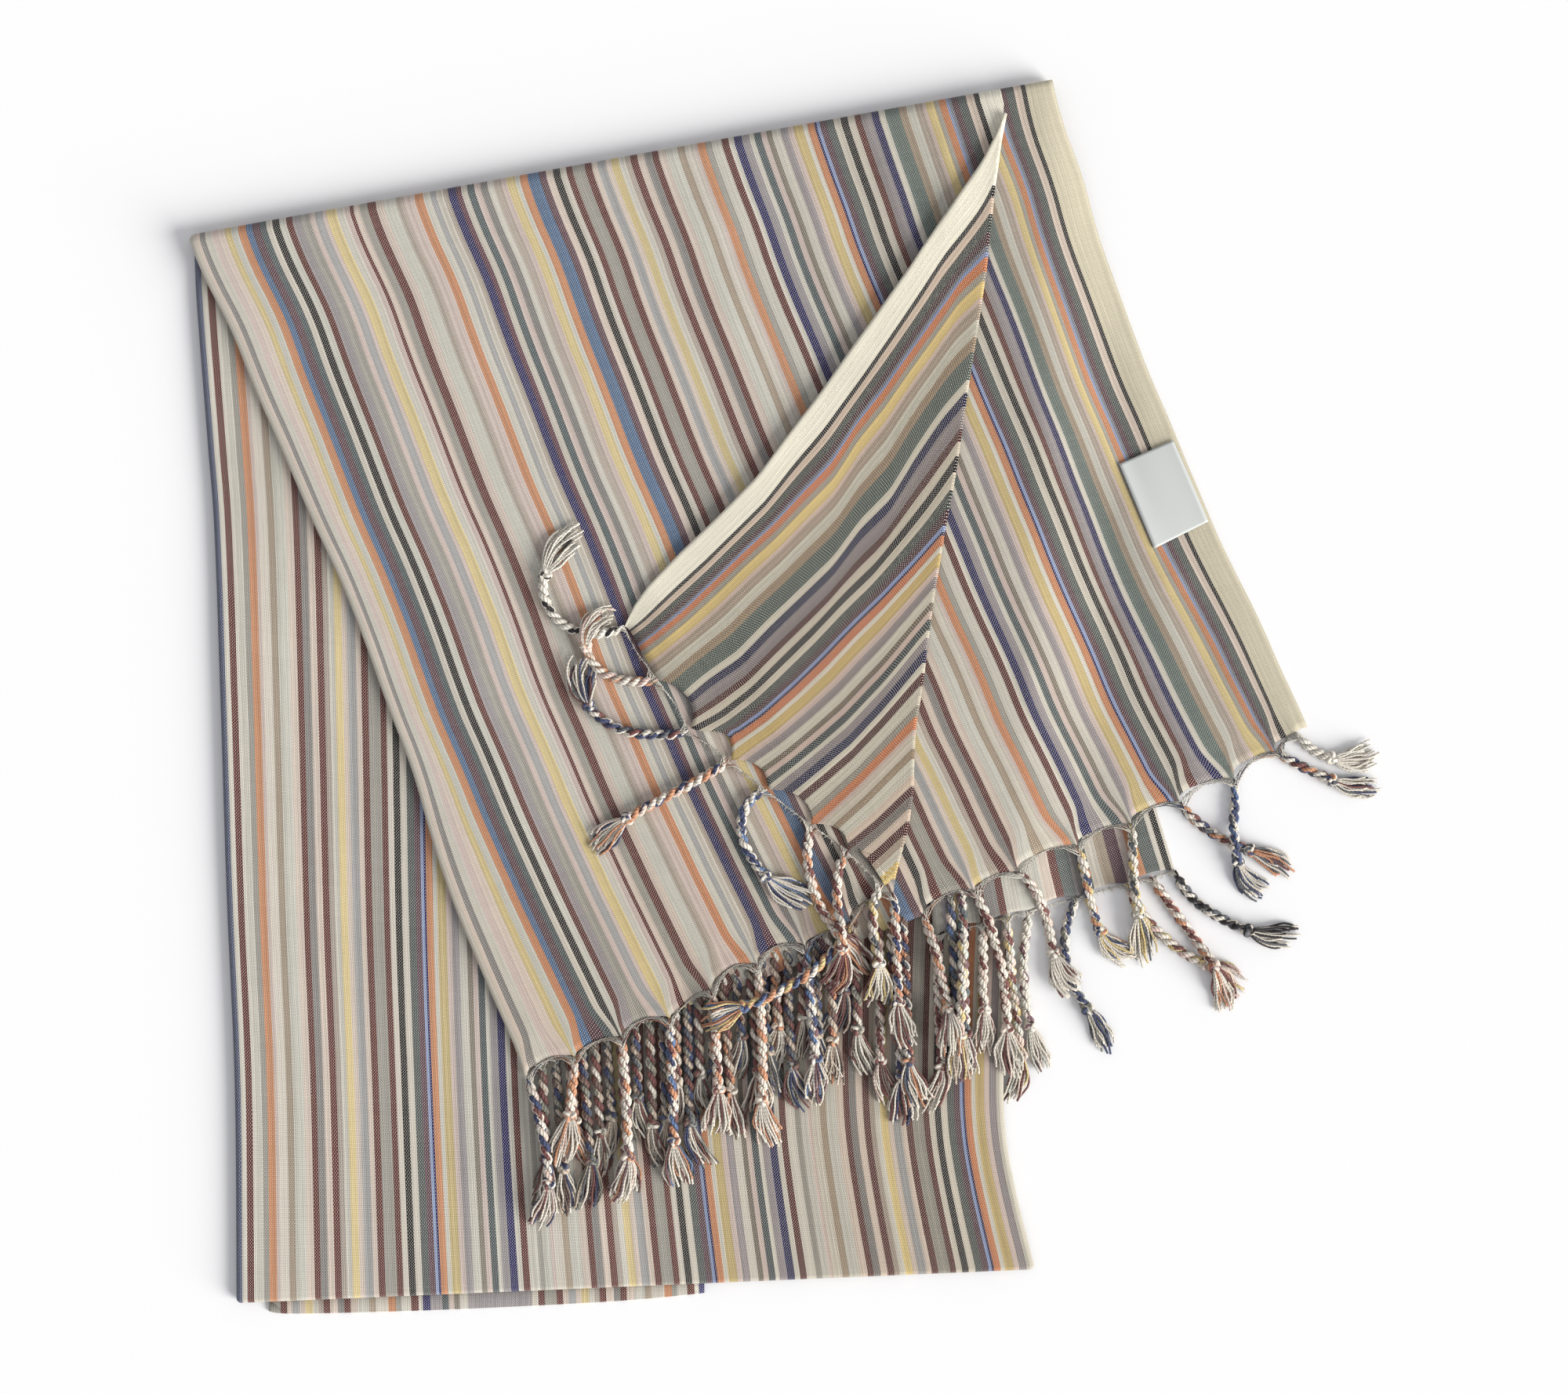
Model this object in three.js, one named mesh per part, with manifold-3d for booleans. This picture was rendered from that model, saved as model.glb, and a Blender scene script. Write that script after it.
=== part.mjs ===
// A striped beach blanket with twisted fringe, folded into a long stack whose top end is flapped
// forward and whose front corner is turned back. Millimetres, +Z up, lying on its back.
import * as THREE from 'three';
import { mergeVertices } from 'three/addons/utils/BufferGeometryUtils.js';
import Module from 'manifold-3d';

const wasm = await Module();
wasm.setup();

// Thicknesses and heights of the stack
const CLOTH = 1.5;
const SEAM = 0.3;
const LOWER_LAYERS = 5.2;
const UPPER_LAYERS = 2.0;
const BACK_TOP = LOWER_LAYERS + SEAM + CLOTH;
const UPPER_BOTTOM = BACK_TOP + SEAM;
const UPPER_TOP = UPPER_BOTTOM + UPPER_LAYERS;
const SECOND_TOP = UPPER_TOP + SEAM + CLOTH;
const FRONT_TOP = SECOND_TOP + SEAM + CLOTH;
const CORNER_TOP = FRONT_TOP + SEAM + CLOTH;
const THIRD_TOP = BACK_TOP + SEAM + CLOTH;
// The turned corner stands a little off the flap
const CORNER_LIFT = 0.5;

// Rounded folds: outer radius, and how far the cloth turns round it
const TOP_FOLD = { radius: FRONT_TOP / 2, turn: 165 };
const SECOND_TOP_FOLD = { radius: FRONT_TOP / 2 - CLOTH - SEAM, turn: 160 };
const FRONT_SIDE_FOLD = { radius: (FRONT_TOP - UPPER_BOTTOM) / 2, turn: 140 };
const BACK_FOLD = { radius: 3.0, turn: 115 };
const CORNER_FOLD = { radius: (CORNER_TOP - FRONT_TOP + CLOTH) / 2 + 0.4, turn: 125 };
const NO_FOLD = { radius: 0, turn: 0 };
const FOLD_STEPS = 5;

// Outlines. Each row crosses a sheet from its left edge to its right edge, from the top fold down.
const BACK_ROWS = [
  { left: [-370, 289], right: [165, 385] },
  { left: [-368, 245], right: [162, 274] },
  { left: [-361, 157], right: [156, 142] },
  { left: [-357, 104], right: [150, 19] },
  { left: [-353, -5], right: [144, -94] },
  { left: [-349, -128], right: [139, -192] },
  { left: [-344, -246], right: [139, -275] },
  { left: [-343, -379], right: [157, -357] },
];
const FRONT_ROWS = [
  { left: [-373, 289], right: [131, 382] },
  { left: [-347, 234], right: [127, 316] },
  { left: [-317, 162], right: [121, 258] },
  { left: [-279, 78], right: [110, 189] },
  { left: [-249, -2], right: [97, 112] },
  { left: [-220, -93], right: [86, 39] },
  { left: [-187, -177], right: [76, -47] },
  { left: [-159, -238], right: [65, -124] },
];
const SECOND_ROWS = [
  { left: [-366, 289], right: [167, 387] },
  { left: [-338, 226], right: [190, 305] },
  { left: [-308, 154], right: [211, 238] },
  { left: [-270, 70], right: [236, 177] },
  { left: [-240, -9], right: [268, 106] },
  { left: [-211, -96], right: [293, 55] },
  { left: [-178, -172], right: [314, 15] },
  { left: [-150, -215], right: [321, -23] },
];
const UPPER_LAYER_ROWS = [
  { left: [-364, 280], right: [144, 370] },
  { left: [-336, 226], right: [140, 300] },
  { left: [-307, 160], right: [136, 225] },
  { left: [-270, 77], right: [132, 150] },
  { left: [-240, -2], right: [128, 70] },
  { left: [-211, -92], right: [122, 0] },
  { left: [-177, -165], right: [120, -45] },
  { left: [-152, -205], right: [116, -75] },
];
const THIRD_ROWS = [
  { left: [90, -98], right: [228, -54] },
  { left: [91, -124], right: [237, -82] },
  { left: [94, -150], right: [245, -109] },
];
// The turned corner runs from the diagonal fold to its hem. Its first row is the selvedge.
const CORNER_ROWS = [
  { left: [-99, 44], right: [136, 352] },
  { left: [-84, 8], right: [118, 225] },
  { left: [-60, -21], right: [103, 129] },
  { left: [-32, -47], right: [92, 57] },
  { left: [-1, -68], right: [84, 4] },
  { left: [20, -93], right: [79, -38] },
  { left: [50, -116], right: [73, -94] },
  { left: [61, -121], right: [69.5, -115] },
];
const LABEL_ROWS = [
  { left: [210, 146], right: [244, 161] },
  { left: [232, 93], right: [266, 110] },
];
// The fold of a lower third that shows below the back panel
const LOWER_EDGE = [
  { x: -323, y: -385.5 },
  { x: -306, y: -387 },
  { x: -226, y: -385 },
  { x: -147, y: -381.5 },
  { x: -90, y: -378 },
  { x: -50, y: -374 },
];

// How many cords hold each hem and how far its cloth is drawn in between them. A sag lets a hem hang
// lower between two shares of its length.
const HEMS = {
  front: { cords: 8, depth: 4, sag: { depth: 8, start: [0, 0.4], end: [0.78, 1] } },
  second: { cords: 16, depth: 4, sag: { depth: 15, start: [0.36, 0.48], end: [0.93, 1] } },
  third: { cords: 5, depth: 3 },
  corner: { cords: 7, depth: 5, side: 'left' },
};
// Shares of a sheet's length, up to its hem, that the cords draw in: at a bottom hem and at a side hem
const DRAWN_IN = { bottom: 0.07, side: 0.12 };
// A hem narrower than this is drawn in less
const NARROW = 80;

// Fringe: half width and half height of a cord, where it grows from the hem, its knot and its tuft
const ROOT = { width: 1.2, height: 0.6 };
const CORD = { width: 3.1, height: 2.0 };
const KNOT = { width: 3.8, height: 2.7, length: 7 };
const TUFT = { width: 4.8, height: 2.0, length: 27 };
// A narrow strip along the hem, just clear of it, carries the cords
const STRIP = 2.6;
const STRIP_GAP = 0.5;
// Cords are laid out in short steps, one bend for each so many degrees
const STEP = 2;
const BEND = 22;
// How near two cords come before the later one climbs over the other
const CLIMB = 1.2;

// Cords of each fringe. "root" is the share of the way along the hem from its left end. "heading" is the
// lie at the root, midway and at the tuft, in degrees from straight down the plan, positive to the right.
const FRONT_CORDS = [
  { root: 0, heading: [16, 8, -18], length: 98 },
  { root: 1 / 8, heading: [-3, -4, 18], length: 66 },
  { root: 2 / 8, heading: [6, 2, 4], length: 104 },
  { root: 3 / 8, heading: [2, 2, 2], length: 106 },
  { root: 4 / 8, heading: [4, 3, 0], length: 92 },
  { root: 5 / 8, heading: [5, 1, -3], length: 114 },
  { root: 6 / 8, heading: [6, 5, 4], length: 100 },
  { root: 1, heading: [4, 2, 4], length: 98 },
  { root: 7 / 8, heading: [-25, -62, -70], length: 115 },
];
const SECOND_CORDS = [
  { root: 8 / 16, heading: [20, 12, 4], length: 92 },
  { root: 9 / 16, heading: [30, 8, -6], length: 120 },
  { root: 10 / 16, heading: [58, 12, 40], length: 87 },
  { root: 11 / 16, heading: [22, 16, 74], length: 86 },
  { root: 12 / 16, heading: [4, 6, 40], length: 86 },
  { root: 13 / 16, heading: [36, 66, 80], length: 84 },
  { root: 14 / 16, heading: [0, 6, 60], length: 82 },
  { root: 15 / 16, heading: [60, 66, 68], length: 70 },
  { root: 1, heading: [30, 76, 88], length: 58 },
];
const THIRD_CORDS = [
  { root: 0.02, heading: [-5, 3, -5], length: 112 },
  { root: 0.11, heading: [5, -3, 8], length: 96 },
  { root: 0.3, heading: [3, 7, 0], length: 118 },
  { root: 1 / 5, heading: [2, 2, 20], length: 84 },
  { root: 2 / 5, heading: [-14, 6, 26], length: 104 },
  { root: 3 / 5, heading: [-34, 20, 54], length: 106 },
  { root: 4 / 5, heading: [22, 54, 86], length: 102 },
  { root: 4.5 / 5, heading: [34, 36, 30], length: 98 },
  { root: 1, heading: [20, 64, 64], length: 91 },
];
const CORNER_CORDS = [
  { root: 0, heading: [-66, -120, -205], length: 101 },
  { root: 1 / 7, heading: [-78, -138, -200], length: 99 },
  { root: 2 / 7, heading: [-96, -104, -185], length: 98 },
  { root: 3 / 7, heading: [-54, -62, -40], length: 103 },
  { root: 4 / 7, heading: [-80, 30, 32], length: 97 },
  { root: 5 / 7, heading: [-14, 26, 66], length: 102 },
  { root: 6 / 7, heading: [-34, 8, -36], length: 93 },
  { root: 1, heading: [-30, 10, -10], length: 80 },
];
// The rows of the layers under the front flap, swaying together down the hem
const LOWER_COUNT = 25;
const LOWER_REACH = [0.03, 0.91];
const LOWER_CORDS = Array.from({ length: LOWER_COUNT }, (_, k) => ({
  root: LOWER_REACH[0] + ((LOWER_REACH[1] - LOWER_REACH[0]) * (k + 0.5)) / LOWER_COUNT,
  heading: [3 + 3 * Math.sin(0.9 * k), 3 + 2 * Math.sin(0.5 * k), 3 + 4 * Math.sin(0.7 * k + 1)],
  length: 92 + 16 * Math.sin(2.4 * k),
}));
const LOWER_TUCK = 7;

const clamp = THREE.MathUtils.clamp;
const lerp = THREE.MathUtils.lerp;
const smoothstep = THREE.MathUtils.smoothstep;
const radians = THREE.MathUtils.degToRad;

// A patch gives the plan position at u across and v along, through smooth side edges.
function patch(rows, hem = { cords: 0, depth: 0 }) {
  const edge = (side) => new THREE.SplineCurve(rows.map((row) => new THREE.Vector2(...row[side])));
  const left = edge('left');
  const right = edge('right');
  const straight = (u, v) => left.getPoint(clamp(v, 0, 1)).lerp(right.getPoint(clamp(v, 0, 1)), u);
  const near = 0.01;
  const down = (u, v) => straight(u, v + near).sub(straight(u, v - near)).normalize();
  const across = (v) => right.getPoint(v).sub(left.getPoint(v)).normalize();
  const width = (v) => right.getPoint(v).distanceTo(left.getPoint(v));
  const sagAt = (u) => (hem.sag
    ? hem.sag.depth * smoothstep(u, ...hem.sag.start) * (1 - smoothstep(u, ...hem.sag.end))
    : 0);
  const scallop = (place) => hem.depth * Math.abs(Math.sin(Math.PI * hem.cords * place));
  const at = (u, v) => {
    if (hem.side === 'left') {
      const share = (1 - smoothstep(u, 0, DRAWN_IN.side)) * Math.min(1, width(v) / NARROW);
      return straight(u, v).addScaledVector(across(v), scallop(v) * share);
    }
    const drawn = scallop(u) * smoothstep(v, 1 - DRAWN_IN.bottom, 1);
    return straight(u, v).addScaledVector(down(u, v), sagAt(u) * smoothstep(v, 0.5, 1) - drawn);
  };
  const length = (u) => {
    const steps = 12;
    let sum = 0;
    for (let k = 0; k < steps; k += 1) sum += straight(u, k / steps).distanceTo(straight(u, (k + 1) / steps));
    return sum;
  };
  return { at, down, across, width, length };
}

// Shares of the way across a side: a rolled start, flat middle stations and a rolled end
function stations(count, size, startFold, endFold) {
  const list = [];
  const start = startFold.radius / size;
  const end = 1 - endFold.radius / size;
  for (let k = FOLD_STEPS; k > 0 && startFold.turn > 0; k -= 1) {
    list.push({ at: start, share: k / FOLD_STEPS, side: -1, fold: startFold });
  }
  for (let k = 0; k <= count; k += 1) {
    list.push({ at: lerp(start, end, k / count), share: 0, side: 1, fold: NO_FOLD });
  }
  for (let k = 1; k <= FOLD_STEPS && endFold.turn > 0; k += 1) {
    list.push({ at: end, share: k / FOLD_STEPS, side: 1, fold: endFold });
  }
  return list;
}

// Outward and downward travel where a border rolls over, with a round corner where two meet
function rollOver(x, y) {
  const share = Math.max(x.share, y.share);
  if (share === 0) return { across: 0, along: 0, drop: 0 };
  const slant = (Math.PI / 4) * (Math.min(x.share, y.share) / share);
  const heading = x.share >= y.share ? slant : Math.PI / 2 - slant;
  const mix = Math.sin(heading) ** 2;
  const radius = lerp(x.fold.radius, y.fold.radius, mix);
  const angle = share * radians(lerp(x.fold.turn, y.fold.turn, mix));
  return {
    across: x.side * radius * Math.sin(angle) * Math.cos(heading),
    along: y.side * radius * Math.sin(angle) * Math.sin(heading),
    drop: radius * (1 - Math.cos(angle)),
  };
}

function geometryOf(points, faces) {
  const geometry = new THREE.BufferGeometry();
  const numbers = points.flatMap((p) => [p.x, p.y, p.z]);
  geometry.setAttribute('position', new THREE.Float32BufferAttribute(numbers, 3));
  geometry.setIndex(faces.flat());
  return geometry;
}

// A closed wall: a grid of outer points, the same grid moved in by the thickness, and its rim
function wall(grid, thickness) {
  const rows = grid.length;
  const columns = grid[0].length;
  const inner = grid.map((row, j) => row.map((point, i) => {
    const alongRow = row[Math.min(i + 1, columns - 1)].clone().sub(row[Math.max(i - 1, 0)]);
    const alongColumn = grid[Math.min(j + 1, rows - 1)][i].clone().sub(grid[Math.max(j - 1, 0)][i]);
    return point.clone().addScaledVector(alongRow.cross(alongColumn).normalize(), thickness);
  }));
  const points = [...grid.flat(), ...inner.flat()];
  const top = (j, i) => j * columns + i;
  const under = (j, i) => rows * columns + top(j, i);
  const faces = [];
  const quad = (a, b, c, d) => faces.push([a, b, c], [a, c, d]);
  for (let j = 0; j < rows - 1; j += 1) {
    for (let i = 0; i < columns - 1; i += 1) {
      quad(top(j, i), top(j + 1, i), top(j + 1, i + 1), top(j, i + 1));
      quad(under(j, i), under(j, i + 1), under(j + 1, i + 1), under(j + 1, i));
    }
  }
  const lastRow = rows - 1;
  const lastColumn = columns - 1;
  for (let i = 0; i < lastColumn; i += 1) {
    quad(top(0, i), top(0, i + 1), under(0, i + 1), under(0, i));
    quad(top(lastRow, i), under(lastRow, i), under(lastRow, i + 1), top(lastRow, i + 1));
  }
  for (let j = 0; j < lastRow; j += 1) {
    quad(top(j, 0), under(j, 0), under(j + 1, 0), top(j + 1, 0));
    quad(top(j, lastColumn), top(j + 1, lastColumn), under(j + 1, lastColumn), under(j, lastColumn));
  }
  return geometryOf(points, faces);
}

// A sheet of cloth over a patch, at the height that top(x, y) gives, with its borders rolled over
function sheet({ plan, top, columns, rows, thickness = CLOTH, start = 0, folds = {} }) {
  const { leftFold = NO_FOLD, rightFold = NO_FOLD, topFold = NO_FOLD, bottomFold = NO_FOLD } = folds;
  const grid = stations(rows, plan.length(0.5), topFold, bottomFold).map((y) => {
    const v = Math.max(y.at, start + (1 - start) * y.at);
    return stations(columns, plan.width(v), leftFold, rightFold).map((x) => {
      const flat = plan.at(x.at, v);
      const roll = rollOver(x, y);
      const height = top(flat.x, flat.y) - roll.drop;
      flat.addScaledVector(plan.across(v), roll.across).addScaledVector(plan.down(x.at, v), roll.along);
      return new THREE.Vector3(flat.x, flat.y, height);
    });
  });
  return wall(grid, thickness);
}

// A solid of hidden layers: rings of one outline, drawn in by each layer's inset, and flat ends
function layered(outline, layers) {
  const rings = layers.map((layer) => outline(layer.inset).map((p) => new THREE.Vector3(p.x, p.y, layer.z)));
  const size = rings[0].length;
  const faces = [];
  for (let k = 0; k < rings.length - 1; k += 1) {
    for (let i = 0; i < size; i += 1) {
      const next = (i + 1) % size;
      faces.push([k * size + i, k * size + next, (k + 1) * size + next]);
      faces.push([k * size + i, (k + 1) * size + next, (k + 1) * size + i]);
    }
  }
  const cap = (ring) => THREE.ShapeUtils.triangulateShape(ring.map((p) => new THREE.Vector2(p.x, p.y)), []);
  const last = (rings.length - 1) * size;
  cap(rings[0]).forEach(([a, b, c]) => faces.push([a, c, b]));
  cap(rings[rings.length - 1]).forEach(([a, b, c]) => faces.push([last + a, last + b, last + c]));
  return geometryOf(rings.flat(), faces);
}

// The border of a patch, anticlockwise, drawn in by the inset and by a margin of its own on top
function border(plan, steps, topMargin = 0) {
  return (inset) => {
    const side = inset / plan.width(0.5);
    const upper = (inset + topMargin) / plan.length(0.5);
    const lower = 1 - inset / plan.length(0.5);
    const list = [];
    for (let k = 0; k < steps; k += 1) list.push(plan.at(side, lerp(upper, lower, k / steps)));
    for (let k = 0; k < steps; k += 1) list.push(plan.at(lerp(side, 1 - side, k / steps), lower));
    for (let k = 0; k < steps; k += 1) list.push(plan.at(1 - side, lerp(lower, upper, k / steps)));
    for (let k = 0; k < steps; k += 1) list.push(plan.at(lerp(1 - side, side, k / steps), upper));
    return list;
  };
}

function solidOf(geometry) {
  geometry.deleteAttribute('normal');
  geometry.deleteAttribute('uv');
  const merged = mergeVertices(geometry, 1e-4);
  return new wasm.Manifold(new wasm.Mesh({
    numProp: 3,
    vertProperties: new Float32Array(merged.attributes.position.array),
    triVerts: new Uint32Array(merged.index.array),
  }));
}

function join(geometries) {
  const mesh = geometries.map(solidOf).reduce((sum, solid) => sum.add(solid)).getMesh();
  const geometry = new THREE.BufferGeometry();
  geometry.setAttribute('position', new THREE.BufferAttribute(new Float32Array(mesh.vertProperties), 3));
  geometry.setIndex(new THREE.BufferAttribute(new Uint32Array(mesh.triVerts), 1));
  return geometry;
}

const backPlan = patch(BACK_ROWS);
const frontPlan = patch(FRONT_ROWS, HEMS.front);
const secondPlan = patch(SECOND_ROWS, HEMS.second);
const thirdPlan = patch(THIRD_ROWS, HEMS.third);
const cornerPlan = patch(CORNER_ROWS, HEMS.corner);
const upperPlan = patch(UPPER_LAYER_ROWS);
const labelPlan = patch(LABEL_ROWS);

// Where the stack ends on its right, the flaps slope from it to the table
const SLOPE = 56;
const SLOPE_START = -4;
function pastStack(x, y) {
  const row = BACK_ROWS.findIndex((r, k) => k > 0 && (r.right[1] <= y || k === BACK_ROWS.length - 1));
  const [x0, y0] = BACK_ROWS[row - 1].right;
  const [x1, y1] = BACK_ROWS[row].right;
  return x - lerp(x0, x1, clamp((y - y0) / (y1 - y0), 0, 1));
}
const drape = (x, y, high, low) => lerp(high, low, smoothstep(pastStack(x, y), SLOPE_START, SLOPE));

// Soft ridges that run with the stripes: place across, height and width of each
const FRONT_RIDGES = [
  { from: [-300, 300], to: [-130, -190], height: 0.9, width: 13 },
  { from: [-170, 320], to: [-40, -60], height: 0.7, width: 16 },
  { from: [-60, 345], to: [0, 130], height: 1.0, width: 15 },
];
const SECOND_RIDGES = [
  { from: [168, 250], to: [262, -10], height: 1.6, width: 12 },
  { from: [188, 330], to: [300, 40], height: 1.1, width: 9 },
  { from: [126, 60], to: [190, -70], height: 1.0, width: 12 },
];
function ridges(list, x, y) {
  return list.reduce((sum, ridge) => {
    const start = new THREE.Vector2(...ridge.from);
    const along = new THREE.Vector2(...ridge.to).sub(start);
    const share = new THREE.Vector2(x, y).sub(start).dot(along) / along.lengthSq();
    const off = new THREE.Vector2(x, y).distanceTo(start.addScaledVector(along, clamp(share, 0, 1)));
    const fade = smoothstep(share, 0, 0.25) * (1 - smoothstep(share, 0.75, 1));
    return sum + ridge.height * fade * Math.exp(-((off / ridge.width) ** 2));
  }, 0);
}

const backHeight = () => BACK_TOP;
const thirdHeight = (x, y) => drape(x, y, THIRD_TOP, CLOTH);
// The second flap lies on the third one down to here and out to here
const OVER_THIRD = { up: [-30, 45], right: [252, 285] };
const secondHeight = (x, y) => {
  const overThird = smoothstep(-y, ...OVER_THIRD.up) * (1 - smoothstep(x, ...OVER_THIRD.right));
  const low = CLOTH + overThird * (CLOTH + SEAM);
  const offStack = smoothstep(pastStack(x, y), -6, 6);
  return drape(x, y, SECOND_TOP, low) + ridges(SECOND_RIDGES, x, y) * offStack;
};
const frontHeight = (x, y) => FRONT_TOP + ridges(FRONT_RIDGES, x, y);
const cornerHeight = (x, y) => frontHeight(x, y) + SEAM + CORNER_LIFT + CLOTH;

// Pieces of cloth
const TOP_MARGIN = 8;
// Rounded edges of the layers: height and how far each is drawn in
const LOWER_PROFILE = [
  { z: 0, inset: 2.2 }, { z: 0.4, inset: 1.3 }, { z: 1.0, inset: 1.3 }, { z: 1.25, inset: 2.5 },
  { z: 1.5, inset: 1.4 }, { z: 2.0, inset: 1.4 }, { z: 2.3, inset: 5.0 }, { z: LOWER_LAYERS - 0.4, inset: 5.0 },
  { z: LOWER_LAYERS, inset: 5.8 },
];
const UPPER_PROFILE = [
  { z: UPPER_BOTTOM, inset: 0.9 }, { z: UPPER_BOTTOM + 0.4, inset: 0 }, { z: UPPER_BOTTOM + 0.8, inset: 0 },
  { z: UPPER_BOTTOM + 1.0, inset: 1.0 }, { z: UPPER_BOTTOM + 1.2, inset: 0 }, { z: UPPER_TOP - 0.4, inset: 0 },
  { z: UPPER_TOP, inset: 0.9 },
];
// The bend that joins the lower and the upper layers inside the top fold
const BEND_ROWS = [
  { left: [-355, 281], right: [138, 363] },
  { left: [-355, 278], right: [138, 360] },
];
const bendPlan = patch(BEND_ROWS);
const BEND_PROFILE = [{ z: 4, inset: 0 }, { z: UPPER_TOP - 0.6, inset: 0 }];
const LABEL = { thickness: 1, lift: 1.9 };
// The lower fold's front edge, and the part of its back edge that meets the back panel
const FOLD_PROFILE = [
  { z: 0, inset: 0.6 }, { z: 0.6, inset: 0 }, { z: 1.6, inset: 0 }, { z: 2.1, inset: 0.7 },
];
const FOLD_BACK = { gap: 0.4, slant: 0.3 };

const hiddenLayers = () => join([
  layered(border(backPlan, 12, TOP_MARGIN), LOWER_PROFILE),
  layered(border(upperPlan, 10), UPPER_PROFILE),
  layered(border(bendPlan, 4), BEND_PROFILE),
]);
const backPanel = () => sheet({
  plan: backPlan, top: backHeight, columns: 6, rows: 10, start: 0.06,
  folds: { leftFold: BACK_FOLD, rightFold: BACK_FOLD, bottomFold: BACK_FOLD },
});
const frontFlap = () => sheet({
  plan: frontPlan, top: frontHeight, columns: 24, rows: 10,
  folds: { leftFold: FRONT_SIDE_FOLD, topFold: TOP_FOLD },
});
const secondFlap = () => sheet({
  plan: secondPlan, top: secondHeight, columns: 32, rows: 9, folds: { topFold: SECOND_TOP_FOLD },
});
const thirdFlap = () => sheet({ plan: thirdPlan, top: thirdHeight, columns: 15, rows: 5 });
const turnedCorner = () => sheet({
  plan: cornerPlan, top: cornerHeight, columns: 6, rows: 21, folds: { rightFold: CORNER_FOLD },
});
const labelHeight = (x, y) => secondHeight(x, y) + SEAM + LABEL.lift;
const label = () => sheet({
  plan: labelPlan, top: labelHeight, columns: 4, rows: 6, thickness: LABEL.thickness,
});
function lowerFoldEdge() {
  const { left, right } = BACK_ROWS[BACK_ROWS.length - 1];
  const outer = LOWER_EDGE.map(({ x, y }) => new THREE.Vector2(x, y));
  const inner = outer.map((p) => backPlan.at((p.x - left[0]) / (right[0] - left[0]), 1));
  const outline = (inset) => [
    ...inner.map((p) => new THREE.Vector2(p.x, p.y + FOLD_BACK.gap - FOLD_BACK.slant * inset)).reverse(),
    ...outer.map((p) => new THREE.Vector2(p.x, p.y + inset)),
  ];
  return layered(outline, FOLD_PROFILE);
}

// Surfaces that cords can lie on, from the lowest up
const SURFACES = [
  { plan: backPlan, height: backHeight },
  { plan: thirdPlan, height: thirdHeight },
  { plan: secondPlan, height: secondHeight },
  { plan: frontPlan, height: frontHeight },
].map(({ plan, height }) => ({ outline: border(plan, 24)(-1), height }));

function inside(outline, x, y) {
  let odd = false;
  outline.forEach((p, k) => {
    const q = outline[(k + 1) % outline.length];
    if ((p.y > y) !== (q.y > y) && x < p.x + ((y - p.y) / (q.y - p.y)) * (q.x - p.x)) odd = !odd;
  });
  return odd;
}

// What has been laid so far: a cord that crosses another one lies on top of it
const laid = [];
function support(x, y, half, level) {
  const reach = [[0, 0], [half, 0], [-half, 0], [0, half], [0, -half]];
  const tops = reach.flatMap(([dx, dy]) => SURFACES.slice(0, level)
    .filter(({ outline }) => inside(outline, x + dx, y + dy))
    .map(({ height }) => height(x + dx, y + dy)));
  const crossed = laid.filter((spot) => Math.hypot(spot.x - x, spot.y - y) < spot.half + half + CLIMB);
  return Math.max(0, ...tops, ...crossed.map((spot) => spot.top));
}

// A tube of four sides through stations with a centre, a half width and a half height
function strandGeometry(list) {
  const points = list.flatMap((station, k) => {
    const before = list[Math.max(k - 1, 0)].centre;
    const after = list[Math.min(k + 1, list.length - 1)].centre;
    const side = new THREE.Vector3(after.y - before.y, before.x - after.x, 0).normalize();
    return [[1, 1], [-1, 1], [-1, -1], [1, -1]].map(([across, up]) => station.centre.clone()
      .addScaledVector(side, across * station.width).add(new THREE.Vector3(0, 0, up * station.height)));
  });
  const faces = [[0, 1, 2], [0, 2, 3]];
  for (let k = 0; k < list.length - 1; k += 1) {
    for (let c = 0; c < 4; c += 1) {
      const here = 4 * k + c;
      const next = 4 * k + ((c + 1) % 4);
      faces.push([here, here + 4, next + 4], [here, next + 4, next]);
    }
  }
  const end = 4 * (list.length - 1);
  faces.push([end, end + 2, end + 1], [end, end + 3, end + 2]);
  return geometryOf(points, faces);
}

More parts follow.
